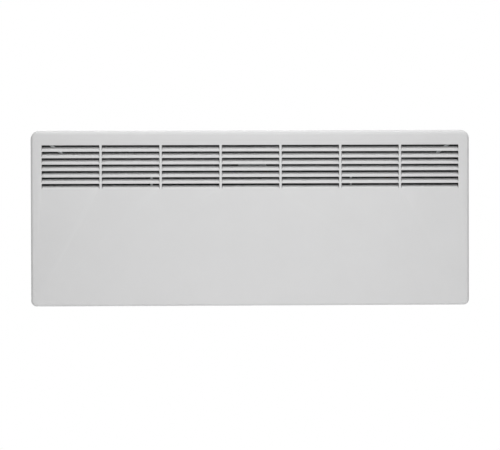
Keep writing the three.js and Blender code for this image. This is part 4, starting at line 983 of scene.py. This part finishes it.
class Finish:
    """A procedural material under construction."""

    def __init__(self, name, color, roughness, metallic=0.0):
        self.material = bpy.data.materials.new(name)
        self.material.use_nodes = True
        self.tree = self.material.node_tree
        self.shader = self.tree.nodes["Principled BSDF"]
        self.color = (*color, 1)
        self.take({"Base Color": self.color, "Roughness": roughness, "Metallic": metallic})
        self.place = self.node("ShaderNodeTexCoord", {}).outputs["Object"]
        self.height = None

    def take(self, inputs):
        """Sets or links the shader's inputs."""
        feed(self.tree, self.shader, inputs)

    def node(self, kind, inputs, **settings):
        return add_node(self.tree, kind, inputs, **settings)

    def stretched(self, scale):
        """The place, scaled along each axis."""
        return self.node("ShaderNodeMapping", {"Scale": scale, "Vector": self.place}).outputs[0]

    def noise(self, scale, detail=3.0, place=None):
        """Soft noise, from 0 to 1."""
        inputs = {"Scale": scale, "Detail": detail, "Vector": place or self.place}
        return self.node("ShaderNodeTexNoise", inputs).outputs["Fac"]

    def cells(self, scale, output="Color", feature="F1"):
        """Cells with a colour of their own, or with a distance to their edge."""
        inputs = {"Scale": scale, "Vector": self.place}
        return self.node("ShaderNodeTexVoronoi", inputs, feature=feature).outputs[output]

    def spread(self, value, low, high, from_low=0.3, from_high=0.7):
        """Maps a span of a value to another, and holds it there."""
        inputs = {"Value": value, "From Min": from_low, "From Max": from_high, "To Min": low, "To Max": high}
        return self.node("ShaderNodeMapRange", inputs).outputs[0]

    def shade(self, *factors):
        """Multiplies the base colour by each factor."""
        product = factors[0]
        for factor in factors[1:]:
            product = self.math("MULTIPLY", product, factor)
        inputs = {"Factor": 1, 6: self.color, 7: product}
        mix = self.node("ShaderNodeMix", inputs, data_type="RGBA", blend_type="MULTIPLY")
        self.take({"Base Color": mix.outputs[2]})

    def rough(self, value, low, high):
        """Varies the roughness with a value."""
        self.take({"Roughness": self.spread(value, low, high)})

    def bump(self, value, distance, strength):
        """Raises the surface with a value, over the bumps made so far."""
        inputs = {"Distance": distance, "Strength": strength, "Height": value}
        if self.height:
            inputs["Normal"] = self.height
        self.height = self.node("ShaderNodeBump", inputs).outputs[0]
        self.take({"Normal": self.height})

    def along(self, axis):
        """The distance along one axis of the shared frame."""
        return self.node("ShaderNodeSeparateXYZ", {0: self.place}).outputs[axis]

    def math(self, operation, *values):
        """The result of a sum on values that are numbers or sockets."""
        return self.node("ShaderNodeMath", dict(enumerate(values)), operation=operation).outputs[0]

    def near(self, value, middle, half, soft=0.4 * MM):
        """1 where a length is within half of a middle one, and 0 past that."""
        off = self.math("ABSOLUTE", self.math("SUBTRACT", value, middle))
        return self.spread(off, 1, 0, half - soft, half + soft)

    def past(self, value, limit, before=0, after=1):
        """One number before a length and another past it, with a soft step."""
        return self.spread(value, before, after, limit - BARE_SOFTNESS, limit + BARE_SOFTNESS)

    def bare(self, mask, color, roughness):
        """Shows bare metal where the mask is 1, under the finish made so far."""
        coat, dull = (self.shader.inputs[key].links[0].from_socket for key in ("Base Color", "Roughness"))
        tone = self.node("ShaderNodeMix", {0: mask, 6: coat, 7: (*color, 1)}, data_type="RGBA")
        gloss = self.node("ShaderNodeMix", {0: mask, 2: dull, 3: roughness}, data_type="FLOAT")
        self.take({"Base Color": tone.outputs[2], "Roughness": gloss.outputs[0], "Metallic": mask})


def powder_coat():
    """Satin powder coat: fine orange peel, with faint cloudiness over the sheet."""
    finish = Finish("powder_coat_satin", (0.62, 0.62, 0.622), 0.46)
    peel = finish.noise(scale=750, detail=2.0)
    cloud = finish.noise(scale=9, detail=4.0)
    grain = finish.noise(scale=2600, detail=1.0)
    finish.shade(finish.spread(cloud, 0.985, 1.012), finish.spread(grain, 0.985, 1.012))
    finish.rough(cloud, 0.42, 0.52)
    finish.bump(peel, distance=0.03 * MM, strength=0.5)
    finish.bump(grain, distance=0.01 * MM, strength=0.35)
    return finish.material


def dark_coat(name="dark_coat_painted_shade", bare_part=None):
    """Matt dark grey powder coat with a fine texture, which paints in the shade inside the heater, over a
    part left bare metal where the sheet catches light.
    """
    finish = Finish(name, (0.040, 0.041, 0.043), 0.62)
    texture = finish.noise(scale=1500, detail=3.0)
    cloud = finish.noise(scale=14, detail=4.0)
    finish.shade(finish.spread(texture, 0.86, 1.12), finish.spread(cloud, 0.94, 1.05))
    finish.rough(texture, 0.55, 0.72)
    finish.bump(texture, distance=0.05 * MM, strength=0.5)
    if bare_part:
        # Where the mask is 1 the bare metal shows through the painted shade; a soft noise breaks up the
        # strip.
        strip_breakup = finish.spread(finish.noise(scale=220, detail=3.0), 0.8, 1)
        finish.bare(finish.math("MULTIPLY", bare_part(finish), strip_breakup), (0.60, 0.62, 0.63), 0.42)
    return finish.material


# Strips of bare metal in the painted shade of the dark coat, where the inner sheets catch light seen through
# the slits.
DIAGONAL = {"x": 455 * MM, "z": 164 * MM, "slope": 0.79, "width": 9.5 * MM, "from_x": 428.5 * MM}
BARE_LIP = {"middle": 228.2 * MM, "half": 3.8 * MM, "shift": 3.2 * MM}
BARE_BAR = {"left": -27 * MM, "top": 129.5 * MM}
BARE_SOFTNESS = 0.5 * MM


def diagonal_edges(finish):
    """The strip along the two turned diagonal edges of the air deflector, left bare metal to catch the
    light; the rest of the deflector is in painted shade.
    """
    out = finish.math("ABSOLUTE", finish.along("X"))
    climb = finish.math("MULTIPLY", out, DIAGONAL["slope"])
    above = finish.math("SUBTRACT", finish.along("Z"), climb)
    edge = DIAGONAL["z"] - DIAGONAL["slope"] * DIAGONAL["x"]
    half = DIAGONAL["width"] * DIAGONAL["slope"] / 2
    strip = finish.near(above, edge + half - BARE_SOFTNESS, half)
    return finish.math("MULTIPLY", strip, finish.past(out, DIAGONAL["from_x"]))


def bracket_lip(finish):
    """The strip along the lip of each element bracket, left bare metal to catch the light; the rest of the
    bracket is in painted shade.
    """
    out = finish.math("ABSOLUTE", finish.math("SUBTRACT", finish.along("X"), BARE_LIP["shift"]))
    return finish.near(out, BARE_LIP["middle"], BARE_LIP["half"])


def bracket_bar(finish):
    """The lower part of the cut-out's bracket, right of its left end, left bare metal to catch the light;
    the rest is in painted shade.
    """
    low = finish.past(finish.along("Z"), BARE_BAR["top"], 1, 0)
    return finish.math("MULTIPLY", low, finish.past(finish.along("X"), BARE_BAR["left"]))


def galvanised():
    """Zinc-coated sheet with its crystal spangle."""
    finish = Finish("zinc_spangle", (0.60, 0.62, 0.63), 0.38, 1.0)
    split = finish.node("ShaderNodeSeparateColor", {0: finish.cells(150)})
    stain = finish.noise(scale=35, detail=5.0)
    finish.shade(finish.spread(split.outputs[0], 0.86, 1.08, 0, 1), finish.spread(stain, 0.88, 1.05))
    finish.take({"Roughness": finish.spread(split.outputs[1], 0.28, 0.50, 0, 1)})
    finish.bump(finish.noise(scale=1800, detail=2.0), distance=0.01 * MM, strength=0.4)
    return finish.material


def aluminium():
    """Mill-finish aluminium with its drawing lines along x."""
    finish = Finish("aluminium_drawn", (0.80, 0.81, 0.82), 0.3, 1.0)
    lines = finish.noise(scale=1, detail=4.0, place=finish.stretched((6, 1500, 1500)))
    finish.shade(finish.spread(lines, 0.86, 1.05))
    finish.rough(lines, 0.22, 0.42)
    finish.bump(lines, distance=0.012 * MM, strength=0.5)
    return finish.material


def steel():
    """Plain bright steel with a fine grain and a little oxide."""
    finish = Finish("steel_bright", (0.50, 0.50, 0.51), 0.34, 1.0)
    grain = finish.noise(scale=1, detail=4.0, place=finish.stretched((900, 900, 90)))
    oxide = finish.noise(scale=60, detail=5.0)
    finish.shade(finish.spread(grain, 0.85, 1.08), finish.spread(oxide, 0.85, 1.05))
    finish.rough(oxide, 0.28, 0.46)
    finish.bump(grain, distance=0.01 * MM, strength=0.4)
    return finish.material


def ceramic():
    """Unglazed steatite with fine specks."""
    finish = Finish("steatite", (0.86, 0.83, 0.76), 0.62)
    speck = finish.noise(scale=1700, detail=3.0)
    finish.shade(finish.spread(speck, 0.90, 1.03), finish.spread(finish.noise(scale=90), 0.94, 1.02))
    finish.rough(speck, 0.55, 0.75)
    finish.bump(speck, distance=0.02 * MM, strength=0.5)
    return finish.material


def moulded(name, color, roughness, grain_scale=1400, depth=0.02 * MM):
    """A moulded plastic with a fine spark-eroded grain and faint flow clouds."""
    finish = Finish(name, color, roughness)
    grain = finish.noise(grain_scale, 2.0)
    flow = finish.noise(scale=40, detail=3.0)
    finish.shade(finish.spread(grain, 0.92, 1.05), finish.spread(flow, 0.95, 1.04))
    finish.rough(flow, roughness - 0.06, roughness + 0.08)
    finish.bump(grain, distance=depth, strength=0.5)
    return finish.material


def circuit_board():
    """Green solder resist over faint copper runs."""
    finish = Finish("solder_resist", (0.05, 0.19, 0.09), 0.32)
    weave = finish.noise(scale=1, detail=2.0, place=finish.stretched((900, 2500, 900)))
    runs = finish.cells(420, "Distance", "DISTANCE_TO_EDGE")
    finish.shade(finish.spread(weave, 0.88, 1.08), finish.spread(runs, 1.35, 0.95, 0.02, 0.05))
    finish.bump(runs, distance=0.02 * MM, strength=0.4)
    return finish.material


def lens():
    """Clear amber plastic with moulded depth."""
    finish = Finish("lens_amber", (0.85, 0.40, 0.09), 0.12)
    finish.take({"Transmission Weight": 0.55, "IOR": 1.49})
    clouds = finish.noise(scale=900, detail=2.0)
    finish.shade(finish.spread(clouds, 0.85, 1.1))
    finish.rough(clouds, 0.08, 0.2)
    return finish.material


def brass():
    """Turned brass, for the terminal screws."""
    finish = Finish("brass_turned", (0.78, 0.58, 0.27), 0.28, 1.0)
    lines = finish.noise(scale=1400, detail=3.0)
    finish.shade(finish.spread(lines, 0.82, 1.08))
    finish.rough(lines, 0.2, 0.38)
    finish.bump(lines, distance=0.01 * MM, strength=0.4)
    return finish.material


FINISHES = {
    "powder_coat": powder_coat(),
    # The dark coat paints in shade: a dark grey sheet where the heater's inside lies in shade.
    "dark_coat": dark_coat(),
    "galvanised": galvanised(),
    "aluminium": aluminium(),
    "steel": steel(),
    "ceramic": ceramic(),
    "black_plastic": moulded("moulded_black", (0.030, 0.031, 0.033), 0.48),
    "white_plastic": moulded("moulded_white", (0.72, 0.72, 0.71), 0.40, depth=0.01 * MM),
    "bakelite": moulded("phenolic", (0.075, 0.035, 0.02), 0.42, 700),
    "circuit_board": circuit_board(),
    "rubber": moulded("rubber_black", (0.018, 0.018, 0.019), 0.78, 900, 0.03 * MM),
    "lead_brown": moulded("lead_brown", (0.060, 0.030, 0.020), 0.42, 1800),
    "lead_blue": moulded("lead_blue", (0.018, 0.030, 0.065), 0.42, 1800),
    "lens": lens(),
    "brass": brass(),
}

# Inner sheets in the dark coat's painted shade, with strips of bare metal where they catch light.
SHADE_PAINTED_PARTS = {
    "air_deflector": dark_coat("painted_shade_deflector", diagonal_edges),
    "element_bracket_left": dark_coat("painted_shade_lip", bracket_lip),
    "cutout_bracket": dark_coat("painted_shade_bar", bracket_bar),
}
SHADE_PAINTED_PARTS["element_bracket_right"] = SHADE_PAINTED_PARTS["element_bracket_left"]

EDGES = {
    "galvanised": 0.15 * MM,
    "aluminium": 0.12 * MM,
    "steel": 0.2 * MM,
    "ceramic": 0.25 * MM,
    "black_plastic": 0.3 * MM,
    "white_plastic": 0.35 * MM,
    "bakelite": 0.3 * MM,
    "circuit_board": 0.1 * MM,
    "rubber": 0.35 * MM,
    "lens": 0.1 * MM,
    "powder_coat": 0.2 * MM,
    "dark_coat": 0.15 * MM,
}


def dress_nodes():
    """Gives every carried-over node its finish and its rounded edges."""
    for entry in frame["record"]["subparts"]:
        piece = NODES[entry["node"]]
        for material_slot in piece.material_slots:
            material_slot.link = "OBJECT"
            material_slot.material = SHADE_PAINTED_PARTS.get(entry["node"], FINISHES[entry["material_slot"]])
        refine(entry["node"], EDGES.get(entry["material_slot"]))


# ---- Stage, light and camera ----

FLOOR_Z = -0.70
FLOOR_RADIUS = 1.45
FLOOR_FADE = (0.95, 1.42)
FLOOR_SIDES = 96
AIM = Vector((-0.0017, FRONT, -0.0159))
DISTANCE = 6.5
AZIMUTH = math.radians(-2.45)
ELEVATION = math.radians(1.12)
TILT = math.radians(-0.15)
FOCAL_PIXELS = 2852
IMAGE_WIDTH = 500
SENSOR = 36.0
FARTHEST = 50
LIGHTS = {
    "key": {"place": (0.10, -1.75, 0.75), "size": (1.2, 0.6), "power": 11},
    "top": {"place": (0.12, -0.4, 2.3), "size": (2.4, 0.9), "power": 34},
    "low_fill": {"place": (0.12, -1.6, -0.42), "size": (1.2, 0.35), "power": 4.5},
    "back_fill": {"place": (-0.8, 2.6, 1.2), "size": (2.4, 1.6), "power": 50},
}
AMBIENT = 0.35
WHITE = 1


def make_camera():
    """A camera in the photograph's place, turned by the photograph's slight tilt."""
    data = bpy.data.cameras.new("camera")
    data.sensor_width = SENSOR
    data.lens = SENSOR * FOCAL_PIXELS / IMAGE_WIDTH
    data.clip_end = FARTHEST
    camera = linked("camera", data)
    away = Vector((
        math.sin(AZIMUTH) * math.cos(ELEVATION),
        -math.cos(AZIMUTH) * math.cos(ELEVATION),
        math.sin(ELEVATION),
    ))
    right = Vector((0, 0, 1)).cross(away).normalized()
    up = away.cross(right)
    turned_right = math.cos(TILT) * right + math.sin(TILT) * up
    turned_up = away.cross(turned_right)
    matrix = Matrix((turned_right, turned_up, away)).transposed().to_4x4()
    matrix.translation = AIM + DISTANCE * away
    camera.matrix_world = matrix
    bpy.context.scene.camera = camera


def area_light(name, place, size, power):
    """A rectangular light that looks at the heater."""
    data = bpy.data.lights.new(name, "AREA")
    data.shape = "RECTANGLE"
    data.size, data.size_y = size
    data.energy = power
    light = linked(name, data)
    light.location = place
    light.rotation_euler = (AIM - Vector(place)).to_track_quat("-Z", "Y").to_euler()


def make_world():
    """Soft light all round, and white where the camera or a reflection sees past the object."""
    world = bpy.data.worlds.new("world")
    bpy.context.scene.world = world
    world.use_nodes = True
    tree = world.node_tree
    ambient = feed(tree, tree.nodes["Background"], {"Color": (1, 1, 1, 1), "Strength": AMBIENT})
    white = add_node(tree, "ShaderNodeBackground", {"Color": (1, 1, 1, 1), "Strength": WHITE})
    path = add_node(tree, "ShaderNodeLightPath", {})
    seen = path.outputs["Is Camera Ray"]
    for ray in ("Is Glossy Ray", "Is Transmission Ray"):
        either = add_node(tree, "ShaderNodeMath", {0: seen, 1: path.outputs[ray]}, operation="MAXIMUM")
        seen = either.outputs[0]
    mix = add_node(tree, "ShaderNodeMixShader", {0: seen, 1: ambient.outputs[0], 2: white.outputs[0]})
    feed(tree, tree.nodes["World Output"], {0: mix.outputs[0]})


def make_floor():
    """A pale round floor that keeps the shadow and fades to the white backdrop at its rim."""
    finish = Finish("floor_pale", (0.86, 0.86, 0.86), 0.8)
    finish.shade(finish.spread(finish.noise(scale=3, detail=2.0), 0.985, 1.01))
    length = finish.node("ShaderNodeVectorMath", {0: finish.place}, operation="LENGTH")
    rim = finish.spread(length.outputs["Value"], 0, 1, *FLOOR_FADE)
    path = finish.node("ShaderNodeLightPath", {})
    seen = finish.math("MULTIPLY", rim, path.outputs["Is Camera Ray"])
    white = finish.node("ShaderNodeEmission", {"Strength": WHITE}).outputs[0]
    mix = finish.node("ShaderNodeMixShader", {0: seen, 1: finish.shader.outputs[0], 2: white})
    feed(finish.tree, finish.tree.nodes["Material Output"], {0: mix.outputs[0]})
    rim_points = [(x, y, 0) for x, y in circle(0, 0, FLOOR_RADIUS, FLOOR_SIDES)]
    floor = mesh_object("floor", rim_points, [tuple(range(FLOOR_SIDES))], finish.material)
    floor.location.z = FLOOR_Z


bpy.context.scene.view_settings.view_transform = "Standard"
make_camera()
for light_name, light_values in LIGHTS.items():
    area_light(light_name, **light_values)
make_world()
make_floor()
dress_nodes()
front_panel(FINISHES["powder_coat"])
# The casing takes the dark coat, painted shade for its inside seen through the slits; its outside is dark
# with it.
rear_casing(FINISHES["dark_coat"])
casing_screws(FINISHES["steel"])
keeper_rivets(FINISHES["steel"])
block_screws(FINISHES["brass"])
thermostat_knob(FINISHES["white_plastic"])
knob_pointer(FINISHES["black_plastic"])
dial_scale(FINISHES["white_plastic"])
